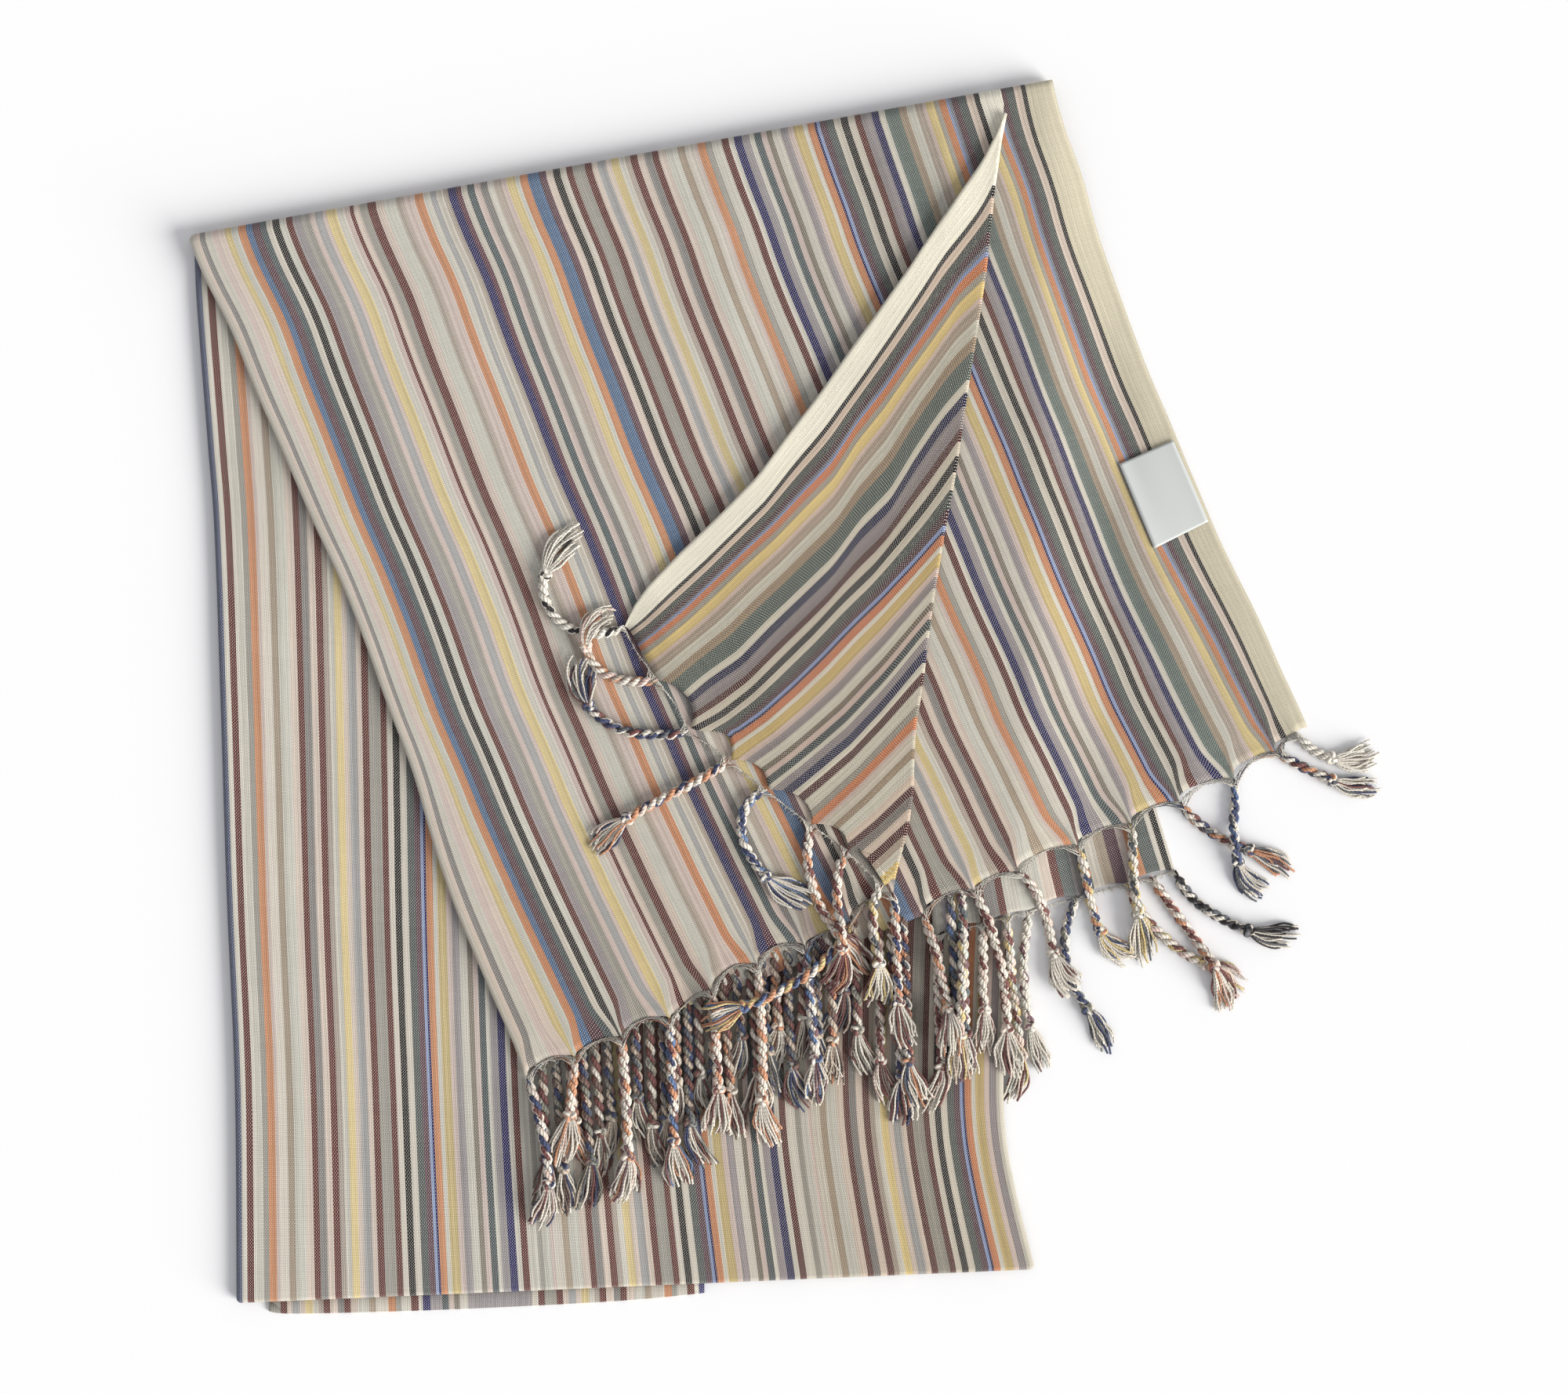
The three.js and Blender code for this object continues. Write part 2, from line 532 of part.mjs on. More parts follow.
// A cord with its knot and tuft: it bends by its three headings and lies on what is under it
function strand(start, cord, level) {
  const fine = [{ x: start.x, y: start.y }];
  const count = Math.round(cord.length / STEP);
  for (let k = 0; k < count; k += 1) {
    const t = (k + 0.5) / count;
    const [first, middle, last] = cord.heading;
    const turn = radians(first * (1 - t) * (1 - 2 * t) + middle * 4 * t * (1 - t) + last * t * (2 * t - 1));
    const from = fine[fine.length - 1];
    fine.push({ x: from.x + STEP * Math.sin(turn), y: from.y - STEP * Math.cos(turn) });
  }
  const neck = cord.length - TUFT.length - KNOT.length;
  const bends = Math.max(4, Math.round(Math.abs(cord.heading[2] - cord.heading[0]) / BEND));
  const stops = [{ at: 0, ...ROOT }];
  for (let k = 1; k <= bends; k += 1) stops.push({ at: (neck * k) / bends, ...CORD });
  stops.push({ at: neck + KNOT.length / 2, width: KNOT.width, height: KNOT.height });
  stops.push({ at: neck + KNOT.length, ...CORD });
  stops.push({ at: cord.length, width: TUFT.width, height: TUFT.height });
  const index = (at) => Math.min(count, Math.round((at / cord.length) * count));
  const rests = fine.map((p) => support(p.x, p.y, TUFT.width, level));
  return stops.map((stop, k) => {
    const low = index(stops[Math.max(k - 1, 0)].at);
    const high = index(stops[Math.min(k + 1, stops.length - 1)].at);
    const rest = Math.max(...rests.slice(low + (k > 1 ? 0 : 2), high + 1));
    const height = k === 0 ? start.z : rest + SEAM + stop.height;
    const { x, y } = fine[index(stop.at)];
    return { centre: new THREE.Vector3(x, y, height), width: stop.width, height: stop.height };
  });
}

function remember(list) {
  list.forEach((station, k) => {
    const next = list[Math.min(k + 1, list.length - 1)];
    const top = Math.max(station.centre.z + station.height, next.centre.z + next.height);
    for (let t = 0; t < 1; t += 0.2) {
      const spot = station.centre.clone().lerp(next.centre, t);
      laid.push({ x: spot.x, y: spot.y, half: Math.max(station.width, next.width), top });
    }
  });
}

// A fringe: a narrow strip along the hem and the cords that grow out of it
function fringe({ plan, height, side = 'bottom', from = 0, to = 1, tuck = 0, level, cords, steps }) {
  const point = (t) => (side === 'left' ? plan.at(0, t) : plan.at(t, 1));
  const outward = (t) => (side === 'left' ? plan.across(t).negate() : plan.down(t, 1));
  const place = (t, out) => point(t).addScaledVector(outward(t), out - tuck);
  const lift = (t) => { const p = point(t); return height(p.x, p.y); };
  const share = (k) => lerp(from, to, k / steps);
  const grid = [STRIP_GAP, STRIP_GAP + STRIP].map((out) => Array.from({ length: steps + 1 }, (_, k) => {
    const p = place(share(k), out);
    return new THREE.Vector3(p.x, p.y, lift(share(k)));
  }));
  const strands = cords.map((cord) => {
    const p = place(cord.root, STRIP_GAP + STRIP / 2);
    return strand({ x: p.x, y: p.y, z: lift(cord.root) - CLOTH / 2 }, cord, level);
  });
  strands.forEach(remember);
  grid[1].forEach((p) => laid.push({ x: p.x, y: p.y, half: STRIP, top: p.z }));
  return join([wall(grid, CLOTH), ...strands.map(strandGeometry)]);
}
const fringeLower = () => fringe({
  plan: frontPlan, height: () => THIRD_TOP, from: LOWER_REACH[0], to: LOWER_REACH[1], tuck: LOWER_TUCK,
  level: 1, cords: LOWER_CORDS, steps: 16,
});
const fringeThird = () => fringe({
  plan: thirdPlan, height: thirdHeight, level: 1, cords: THIRD_CORDS, steps: 15,
});
const fringeSecond = () => fringe({
  plan: secondPlan, height: secondHeight, from: 0.5, level: 2, cords: SECOND_CORDS, steps: 16,
});
const fringeFront = () => fringe({
  plan: frontPlan, height: frontHeight, level: 3, cords: FRONT_CORDS, steps: 24,
});
const fringeCorner = () => fringe({
  plan: cornerPlan, height: cornerHeight, side: 'left', level: 4, cords: CORNER_CORDS, steps: 21,
});

const CLOTH_LOOK = { color: 0xb9b3a8, roughness: 0.95, metalness: 0 };
const FRINGE_LOOK = { color: 0xb29c8c, roughness: 0.95, metalness: 0 };
const PIECES = [
  { name: 'hidden_layers', make: hiddenLayers, look: { ...CLOTH_LOOK, color: 0xa9a39a } },
  { name: 'back_panel', make: backPanel, look: { ...CLOTH_LOOK, color: 0xaaa7a3 } },
  { name: 'front_flap', make: frontFlap, look: CLOTH_LOOK },
  { name: 'second_flap', make: secondFlap, look: { ...CLOTH_LOOK, color: 0xb4afa2 } },
  { name: 'third_flap', make: thirdFlap, look: { ...CLOTH_LOOK, color: 0xa29c92 } },
  { name: 'turned_corner', make: turnedCorner, look: { ...CLOTH_LOOK, color: 0xc2bbae } },
  { name: 'lower_fold_edge', make: lowerFoldEdge, look: { ...CLOTH_LOOK, color: 0xb0a99c } },
  { name: 'label', make: label, look: { color: 0xdcdad2, roughness: 0.6, metalness: 0 } },
  { name: 'fringe_lower', make: fringeLower, look: { ...FRINGE_LOOK, color: 0x8b6f66 } },
  { name: 'fringe_third', make: fringeThird, look: { ...FRINGE_LOOK, color: 0x9a8478 } },
  { name: 'fringe_second', make: fringeSecond, look: FRINGE_LOOK },
  { name: 'fringe_front', make: fringeFront, look: FRINGE_LOOK },
  { name: 'fringe_corner', make: fringeCorner, look: { ...FRINGE_LOOK, color: 0xc9b9a6 } },
];

const group = new THREE.Group();
for (const piece of PIECES) {
  const mesh = new THREE.Mesh(piece.make(), new THREE.MeshStandardMaterial(piece.look));
  mesh.name = piece.name;
  group.add(mesh);
}

// The origin is under the middle of the blanket, on the table.
const box = new THREE.Box3().setFromObject(group);
group.position.set(-(box.min.x + box.max.x) / 2, -(box.min.y + box.max.y) / 2, 0);

export default group;
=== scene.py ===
"""A striped beach blanket with twisted fringe, folded and flapped forward, on a pale floor.

Plans are in millimetres on the floor, or in the flap's own threads: how far across the stripes and how
far down from the top fold, in the units of a stripe chart. One unit is UNIT millimetres.
"""
import math
import random

import bmesh
import bpy
import numpy as np
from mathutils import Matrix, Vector
from mathutils.bvhtree import BVHTree


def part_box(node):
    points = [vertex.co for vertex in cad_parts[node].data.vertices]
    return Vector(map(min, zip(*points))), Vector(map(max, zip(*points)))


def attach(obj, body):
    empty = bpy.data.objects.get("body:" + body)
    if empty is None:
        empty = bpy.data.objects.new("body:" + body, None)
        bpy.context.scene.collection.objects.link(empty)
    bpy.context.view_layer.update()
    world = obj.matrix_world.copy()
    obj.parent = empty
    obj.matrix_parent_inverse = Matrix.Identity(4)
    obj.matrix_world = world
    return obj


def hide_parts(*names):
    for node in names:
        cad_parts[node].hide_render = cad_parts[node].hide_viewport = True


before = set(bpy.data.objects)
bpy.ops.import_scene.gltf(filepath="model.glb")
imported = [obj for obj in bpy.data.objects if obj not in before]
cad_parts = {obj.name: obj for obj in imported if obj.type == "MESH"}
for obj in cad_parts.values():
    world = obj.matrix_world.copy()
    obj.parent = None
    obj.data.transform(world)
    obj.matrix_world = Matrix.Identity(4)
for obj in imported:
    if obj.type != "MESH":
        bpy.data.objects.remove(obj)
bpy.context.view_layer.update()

MM = 0.001
UNIT = 0.49
# Walls of the sheets, the air between them, the layers inside the folds, and the tops that they reach
CLOTH = 1.5
SEAM = 0.3
LOWER_LAYERS = 5.2
UPPER_LAYERS = 2.0
BACK_TOP = LOWER_LAYERS + SEAM + CLOTH
UPPER_BOTTOM = BACK_TOP + SEAM
UPPER_TOP = UPPER_BOTTOM + UPPER_LAYERS
SECOND_TOP = UPPER_TOP + SEAM + CLOTH
FRONT_TOP = SECOND_TOP + SEAM + CLOTH
CORNER_LIFT = 0.8
THIRD_TOP = BACK_TOP + SEAM + CLOTH
SHELL = 0.8
PICTURE = (2000, 1778)
VIEW_WIDTH = PICTURE[0] * UNIT
LENS = 85.0
SENSOR = 36.0

# The lower fold's left end and front edge, on the plan
LOWER_LEFT, LOWER_FRONT = -323.0, -387.0
low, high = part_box("lower_fold_edge")
SHIFT = (low[0] / MM - LOWER_LEFT, low[1] / MM - LOWER_FRONT)


def to_scene(x, y, z):
    return Vector(((x + SHIFT[0]) * MM, (y + SHIFT[1]) * MM, z * MM))


# ---- Stripes -----------------------------------------------------------------------------------------
# Yarns as they look in the cloth, in sRGB, and a darker beige that paints shade on the second flap's
# selvedge
YARNS = {
    "cream": (204, 197, 183), "selvedge": (232, 227, 210), "selvedge_in_shade": (206, 198, 174),
    "beige": (176, 165, 152), "pink": (203, 187, 177), "blush": (207, 193, 179), "yellow": (212, 194, 146),
    "gold": (196, 178, 132), "orange": (196, 143, 110), "maroon": (117, 86, 80), "plum": (114, 95, 98),
    "purple": (114, 90, 94), "navy": (64, 76, 108), "ink": (104, 108, 124), "blue": (106, 124, 148),
    "sky": (150, 162, 188), "teal": (103, 109, 108), "slate": (108, 112, 108), "moss": (143, 139, 134),
    "sage": (164, 160, 150), "grey": (166, 165, 162), "lilac": (158, 152, 151), "pale": (204, 199, 186),
    "mist": (198, 195, 183), "black": (48, 45, 46), "tan": (168, 154, 136), "bark": (138, 131, 119),
    "steel": (138, 142, 150), "sea": (120, 129, 123),
}
# The front flap's stripes from its left fold to its selvedge: yarn and width
FLAP_CHART = """
ink 3 cream 5 blush 5 moss 7 pale 9 pink 9 blush 8 yellow 8 mist 9 orange 10 blue 8 plum 10 teal 8
cream 8 black 9 mist 9 maroon 8 lilac 10 sage 12 pink 7 grey 10 pink 5 yellow 13 pale 10 pink 7
maroon 5 blush 8 sage 10 maroon 11 blush 10 mist 16 beige 10 pink 14 orange 11 pale 10 grey 7 cream 9
beige 6 navy 10 purple 7 cream 8 teal 9 pink 8 moss 9 pale 8 beige 10 pink 7 yellow 11 mist 6 orange 10
blue 15 plum 9 blush 9 black 9
cream 8 maroon 8 sage 16 maroon 9 blush 7 grey 11 blush 7 yellow 10 pale 8 beige 7 maroon 9 blush 9
moss 10 maroon 8 blush 10 mist 15 tan 9 cream 12 pink 5 orange 10 sage 8 pale 13 maroon 9 pale 7
navy 10 lilac 10 pale 6 teal 9 pink 7 bark 7 pale 11 lilac 10 pink 7 gold 12 pale 6 orange 9 navy 3
sky 4 plum 8 slate 10 cream 9 black 9
cream 9 maroon 8 lilac 14 navy 9 pale 8 sea 18 tan 10 mist 11 beige 10 pink 4 yellow 11 sage 6
orange 9 sky 3 steel 4 plum 8 slate 11 blush 10 black 7 selvedge 45
"""
# The flap's chart was read along its top fold, a little off square to the stripes; the back panel's
# repeats are a little narrower
CHART_SKEW = 0.985
BACK_SCALE = 0.965
THIRD_CHART = """
sage 12 lilac 14 yellow 12 sage 14 maroon 8 moss 14 maroon 8 pale 16 mist 28 blush 12 maroon 9 slate 14
moss 9 teal 11 cream 12 tan 12 plum 14 pink 8 orange 12 slate 16 cream 6 black 7 cream 3
"""
# The left edges of the second and third black stripes
BLACK_SECOND, BLACK_THIRD = 467.4, 833.8


def read_chart(text, scale=1.0, start=0.0):
    """Stripes as (left, right, yarn), one after another."""
    words = text.split()
    stripes, at = [], start
    for yarn, width in zip(words[0::2], words[1::2]):
        stripes.append((at, at + float(width) * scale, yarn))
        at += float(width) * scale
    return stripes


FLAP_STRIPES = read_chart(FLAP_CHART, CHART_SKEW)
SELVEDGE = FLAP_STRIPES[-1][1]
MIDDLE_REPEAT = [s for s in FLAP_STRIPES if BLACK_SECOND + 2 < s[0] and s[1] < BLACK_THIRD + 6]
REPEAT_WIDTH = BLACK_THIRD - BLACK_SECOND


def repeat_stripes(black_at, scale, low_end, high_end, plain_after):
    """The middle repeat of the flap's chart, mirrored and tiled, as the back panel shows it."""
    length = REPEAT_WIDTH * scale
    stripes = []
    for turn in range(-4, 5):
        for left, right, yarn in reversed(MIDDLE_REPEAT):
            start = black_at + turn * length + (BLACK_THIRD - right) * scale
            end = black_at + turn * length + (BLACK_THIRD - left) * scale
            if yarn == "orange" and left < BLACK_THIRD - 100 and start > plain_after:
                yarn = "mist"
            if end > low_end and start < high_end:
                stripes.append((max(start, low_end), min(end, high_end), yarn))
    return sorted(stripes)


def stripe_columns(stripes, first, last, widest=9.0):
    """Column places across a sheet, on the stripe borders, and the yarn of each column."""
    places, yarns = [first], []
    for left, right, yarn in stripes:
        left, right = max(left, first), min(right, last)
        if right - left < 0.3:
            continue
        count = max(1, math.ceil((right - left) / widest))
        for k in range(1, count + 1):
            places.append(left + (right - left) * k / count)
            yarns.append(yarn)
    return places, yarns


# ---- Plans -------------------------------------------------------------------------------------------
FLAP_START = (-373.4, 289.1)
FLAP_TURN = math.atan2(198, 1100)
FLAP_DRIFT = [
    (0, 0), (66, 13), (121, 33), (213, 51), (275, 67), (400, 96), (458, 113), (547, 131), (630, 144),
    (720, 162), (822, 171), (895, 182), (1004, 206), (1118, 234), (1136, 239), (1300, 280),
]
FLAP_HEM = [
    (0, 1136), (79, 1119), (123, 1109), (160, 1103), (221, 1092), (266, 1068), (309, 1053), (364, 1041),
    (440, 1028), (536, 987),
]
DIAGONAL = [
    (536, 987), (559, 946), (586, 903), (606, 862), (627, 807), (653, 740), (682, 678), (715, 615),
    (743, 560), (779, 495), (798, 462), (849, 377), (893, 304), (929, 242), (963, 179), (987, 128),
    (1023, 76), (1044, 38), (1051, 20),
]
SECOND_HEM = [
    (0, 1118), (300, 1070), (561, 1020), (634, 1002), (696, 989), (782, 970), (859, 955), (928, 939),
    (1007, 922), (1069, 897), (1113, 872),
]
# How far the second flap's threads lie right of the front flap's, at seven stripes and down the flap
SECOND_STRIPES_MOVED = (0.0, 467.0, 834.0, 873.0, 958.0, 1002.0, 1046.0)
SECOND_MOVES = {
    0: (8, 78, 80, 80, 82, 81, 71), 100: (8, 76, 78, 78, 70, 64, 58), 200: (8, 74, 76, 75, 60, 53, 46),
    300: (8, 72, 74, 72, 52, 48, 39), 400: (8, 70, 72, 66, 46, 43, 34), 500: (8, 68, 68, 61, 45, 41, 31),
    600: (8, 72, 72, 64, 50, 47, 36), 700: (8, 78, 78, 68, 64, 58, 46), 800: (8, 88, 90, 86, 85, 75, 60),
    850: (8, 99, 101, 95, 96, 82, 69), 950: (8, 105, 113, 112, 109, 88, 72),
    1100: (8, 112, 120, 119, 112, 90, 74),
}
# The front flap's stripes lean right at the top fold, bow left halfway down and fan out towards the hem
FRONT_LEAN, FRONT_BOW, FRONT_FAN = 15.0, 13.0, 30.0
FAN_STRIPES, FAN_SHARES = (6.0, 60.0, 430.0, 880.0), (0.0, 0.6, 1.0, 0.5)
# Where each of these comes or goes, across the stripes or down the flap
BOW_FROM, BOW_TO = (6, 60), (430, 880)
LEAN_FADES, BOW_GROWS, BOW_FADES, FAN_GROWS = (20, 170), (80, 500), (660, 900), (640, 1140)
# Threads of the turned corner, each from the hem to the diagonal fold, by their place on the chart
CORNER_THREADS = {
    1046: [(323, 592), (341, 570), (368, 547), (421, 513), (485, 476), (558, 432), (618, 387), (674, 345),
           (732, 298), (790, 253), (849, 206), (906, 157), (951, 121), (998, 85), (1034, 50), (1046, 34)],
    1002: [(323, 600), (350, 588), (400, 558), (450, 530), (500, 500), (550, 470), (600, 434), (660, 394),
           (732, 338), (790, 291), (849, 243), (897, 202), (926, 181), (959, 155), (985, 130)],
    958: [(327, 625), (350, 615), (400, 590), (450, 560), (500, 530), (550, 502), (600, 470), (650, 440),
          (700, 398), (750, 362), (800, 322), (850, 283), (900, 243), (940, 221)],
    873: [(352, 708), (400, 682), (450, 662), (500, 630), (550, 600), (600, 570), (650, 530), (700, 500),
          (750, 455), (800, 415), (845, 384)],
    834: [(354, 738), (400, 725), (450, 700), (500, 670), (550, 640), (600, 607), (650, 577), (700, 540),
          (750, 502), (799, 461)],
    801: [(380, 764), (400, 752), (450, 730), (500, 702), (550, 672), (600, 640), (650, 610), (700, 577),
          (752, 541)],
    698: [(440, 843), (500, 812), (550, 785), (600, 750), (650, 712), (672, 696)],
    652: [(470, 882), (500, 865), (550, 835), (600, 802), (634, 779)],
    593: [(500, 920), (550, 895), (606, 862)],
    566: [(512, 946), (545, 928), (584, 906)],
    536: [(528, 976), (534, 974), (540, 970)],
}
CORNER_DENSE = 60
BACK_ROWS = [
    ((-370, 289), (165, 385)), ((-368, 245), (162, 274)), ((-361, 157), (156, 142)),
    ((-357, 104), (150, 19)), ((-353, -5), (144, -94)), ((-349, -128), (139, -192)),
    ((-344, -246), (139, -275)), ((-343, -379), (157, -357)),
]
UPPER_ROWS = [
    ((-364, 280), (144, 370)), ((-336, 226), (140, 300)), ((-307, 160), (136, 225)),
    ((-270, 77), (132, 150)), ((-240, -2), (128, 70)), ((-211, -92), (122, 0)),
    ((-177, -165), (120, -45)), ((-152, -205), (116, -75)),
]
THIRD_ROWS = [((90, -98), (228, -54)), ((91, -124), (237, -82)), ((94, -150), (245, -109))]
LABEL_ROWS = [((210, 146), (244, 161)), ((232, 93), (266, 110))]
LOWER_EDGE = [(-323, -385.5), (-306, -387), (-226, -385), (-147, -381.5), (-90, -378), (-50, -374)]
# Tables down the flap are read off an even grid, each value averaged over these steps
SOFT_STEPS = (-30, -15, 0, 15, 30)
GRID_STEP, GRID_END = 4.0, 1400.0


def smoothstep(value, low_end, high_end):
    share = min(1.0, max(0.0, (value - low_end) / (high_end - low_end)))
    return share * share * (3 - 2 * share)


def along_table(table, value):
    """The second column of a table, read at a value of its first one."""
    return float(np.interp(value, [row[0] for row in table], [row[1] for row in table]))


def softened(rows, values):
    """A table's column on an even grid, averaged over a short stretch, so that no corner of it shows."""
    grid = np.arange(0, GRID_END + GRID_STEP, GRID_STEP)
    return list(sum(np.interp(grid + step, rows, values) for step in SOFT_STEPS) / len(SOFT_STEPS))


def on_grid(column, value):
    place = min(max(value / GRID_STEP, 0), len(column) - 1.001)
    k = int(place)
    return float(column[k] + (column[k + 1] - column[k]) * (place - k))


def spline(points, share):
    """A smooth curve through points that are evenly spaced in share."""
    place = (len(points) - 1) * min(1.0, max(0.0, share))
    k = int(place)
    t = place - k
    last = len(points) - 1
    p0, p1, p2, p3 = (points[max(0, min(last, k + step))] for step in (-1, 0, 1, 2))
    return tuple(
        b + t * (0.5 * (c - a) + t * (a - 2.5 * b + 2 * c - 0.5 * d + t * (1.5 * (b - c) + 0.5 * (d - a))))
        for a, b, c, d in zip(p0, p1, p2, p3))


class Patch:
    """A plan between two smooth side edges: u runs across and v down."""

    def __init__(self, rows):
        self.left = [row[0] for row in rows]
        self.right = [row[1] for row in rows]

    def at(self, u, v):
        a, b = spline(self.left, v), spline(self.right, v)
        return (a[0] + (b[0] - a[0]) * u, a[1] + (b[1] - a[1]) * u)

    def width(self, v):
        a, b = self.at(0, v), self.at(1, v)
        return math.dist(a, b)

    def length(self, u):
        return sum(math.dist(self.at(u, k / 12), self.at(u, (k + 1) / 12)) for k in range(12))


FLAP_DRIFTED = softened([row[0] for row in FLAP_DRIFT], [row[1] for row in FLAP_DRIFT])


def flap_point(across, down):
    """The plan place of a thread of the flap: units across the stripes and down from the top fold."""
    cos, sin = math.cos(FLAP_TURN), math.sin(FLAP_TURN)
    moved = (across + on_grid(FLAP_DRIFTED, down)) * UNIT
    down *= UNIT
    return (FLAP_START[0] + cos * moved + sin * down, FLAP_START[1] + sin * moved - cos * down)


SECOND_MOVED = [softened(sorted(SECOND_MOVES), [SECOND_MOVES[row][k] for row in sorted(SECOND_MOVES)])
                for k in range(len(SECOND_STRIPES_MOVED))]


def second_across(across, down):
    """Where a thread of the second flap lies, by its moves at a few stripes and down the flap."""
    stripes = SECOND_STRIPES_MOVED
    k = 0
    while k < len(stripes) - 2 and across > stripes[k + 1]:
        k += 1
    share = min(max((across - stripes[k]) / (stripes[k + 1] - stripes[k]), 0), 1)
    near, far = (on_grid(column, down) for column in SECOND_MOVED[k:k + 2])
    return across + near * (1 - share) + far * share


DIAGONAL_DOWN = [(down, across) for across, down in reversed(DIAGONAL)]


def front_across(across, down):
    """Where a thread of the front flap lies, never past its diagonal fold."""
    lean = FRONT_LEAN * across / FAN_STRIPES[-1] * (1 - smoothstep(down, *LEAN_FADES))
    bow = (FRONT_BOW * smoothstep(across, *BOW_FROM) * (1 - smoothstep(across, *BOW_TO))
           * smoothstep(down, *BOW_GROWS) * (1 - smoothstep(down, *BOW_FADES)))
    fan = FRONT_FAN * float(np.interp(across, FAN_STRIPES, FAN_SHARES)) * smoothstep(down, *FAN_GROWS)
    return min(across + lean - bow + fan, along_table(DIAGONAL_DOWN, down))


def even_points(points, count):
    """The same line with evenly spaced points."""
    line = np.array(points, float)
    gone = np.concatenate([[0], np.cumsum(np.linalg.norm(np.diff(line, axis=0), axis=1))])
    wanted = np.linspace(0, gone[-1], count)
    return np.column_stack([np.interp(wanted, gone, line[:, k]) for k in range(2)])


CORNER_ORDER = sorted(CORNER_THREADS)
CORNER_LINES = [even_points(CORNER_THREADS[key], CORNER_DENSE) for key in CORNER_ORDER]


def corner_point(across, share):
    """A thread of the turned corner, from its hem at share 0 to the diagonal fold at share 1."""
    place = float(np.interp(across, CORNER_ORDER, range(len(CORNER_ORDER))))
    k = min(int(place), len(CORNER_ORDER) - 2)
    t = place - k
    step = share * (CORNER_DENSE - 1)
    j = min(int(step), CORNER_DENSE - 2)
    s = step - j
    rows = [line[j] * (1 - s) + line[j + 1] * s for line in (CORNER_LINES[k], CORNER_LINES[k + 1])]
    mixed = rows[0] * (1 - t) + rows[1] * t
    return flap_point(float(mixed[0]), float(mixed[1]))


# ---- Heights -----------------------------------------------------------------------------------------
# How far the flaps slope down beside the stack
SLOPE = 56
BACK_RIGHT = sorted((row[1][1], row[1][0]) for row in BACK_ROWS)
# Soft ridges and troughs: the two ends of each, its height and its width
FRONT_CREASES = [
    ((-300, 300), (-130, -190), 0.9, 13), ((-170, 320), (-40, -60), 0.7, 16),
    ((-60, 345), (0, 130), 1.0, 15), ((-352, 270), (-262, 60), 0.5, 9), ((-250, 200), (-190, 20), -0.4, 8),
    ((-215, 60), (-125, -180), 0.5, 8), ((-120, 300), (-70, 150), -0.5, 7),
    ((-100, 120), (-20, -130), 0.6, 9), ((10, 330), (48, 200), 0.8, 9),
    ((60, 352), (88, 262), 0.9, 7), ((96, 362), (112, 290), 0.7, 6), ((-30, 60), (20, -80), 0.5, 8),
    ((-260, -20), (-215, -120), 0.4, 7), ((-330, 290), (-300, 225), 0.5, 6),
]
SECOND_CREASES = [
    ((168, 250), (262, -10), 1.6, 12), ((188, 330), (300, 40), 1.1, 9), ((126, 60), (190, -70), 1.0, 12),
    ((150, 300), (236, 100), -0.8, 7), ((232, 100), (300, -10), 1.0, 8), ((110, -20), (150, -100), 0.6, 8),
    ((200, 120), (262, 60), 0.8, 7), ((205, 240), (236, 160), 0.7, 6),
]
CORNER_CREASES = [
    ((110, 260), (-60, 20), 0.9, 12), ((100, 120), (-30, 0), 0.8, 10), ((122, 300), (20, 130), -0.5, 8),
    ((86, 40), (10, -60), 0.6, 9), ((70, -40), (30, -90), 0.5, 8),
]
BACK_CREASES = [
    ((-352, 80), (-346, -140), 0.3, 6), ((-300, -100), (-290, -360), 0.35, 10),
    ((-220, -180), (-205, -370), -0.3, 9), ((-120, -230), (-108, -372), 0.4, 12),
    ((0, -240), (10, -360), -0.3, 10), ((90, -240), (104, -350), 0.35, 9),
    ((-340, 60), (-318, -30), 0.3, 7),
]


def creases(table, x, y):
    """The rise of the soft ridges and troughs at a plan place."""
    total = 0.0
    for (ax, ay), (bx, by), rise, width in table:
        dx, dy = bx - ax, by - ay
        share = ((x - ax) * dx + (y - ay) * dy) / (dx * dx + dy * dy)
        near = min(1.0, max(0.0, share))
        off = math.hypot(x - ax - near * dx, y - ay - near * dy) / width
        if off < 3:
            fade = smoothstep(share, 0, 0.25) * (1 - smoothstep(share, 0.75, 1))
            total += rise * fade * math.exp(-off * off)
    return total


def past_stack(x, y):
    return x - along_table(BACK_RIGHT, y)


def drape(x, y, high_end, low_end):
    return high_end + (low_end - high_end) * smoothstep(past_stack(x, y), -4, SLOPE)


def back_height(x, y):
    return BACK_TOP + creases(BACK_CREASES, x, y)


def third_height(x, y):
    return drape(x, y, THIRD_TOP, CLOTH)


def second_height(x, y):
    over_third = smoothstep(-y, -30, 45) * (1 - smoothstep(x, 252, 285))
    flat = drape(x, y, SECOND_TOP, CLOTH + over_third * (CLOTH + SEAM))
    return flat + creases(SECOND_CREASES, x, y) * smoothstep(past_stack(x, y), -6, 6)


def front_height(x, y):
    return FRONT_TOP + creases(FRONT_CREASES, x, y)


def corner_height(x, y):
    return front_height(x, y) + SEAM + CORNER_LIFT + CLOTH + creases(CORNER_CREASES, x, y)


# ---- Materials ---------------------------------------------------------------------------------------
# The pale weft, the share of the cloth where it shows, how dim it lies there as painted shade, how high
# a warp thread arches beside it, and the thread pitch
WEFT = (214, 208, 198)
WEFT_SHARE = 0.15
WEFT_SHADE = 0.76
WEFT_GAP = 0.891
THREAD = 0.00081
# How much brighter than its own colour a thread looks in this light
GLARE = 1.12


def linear(rgb):
    values = [c / 255 for c in rgb]
    return [v / 12.92 if v <= 0.04045 else ((v + 0.055) / 1.055) ** 2.4 for v in values]


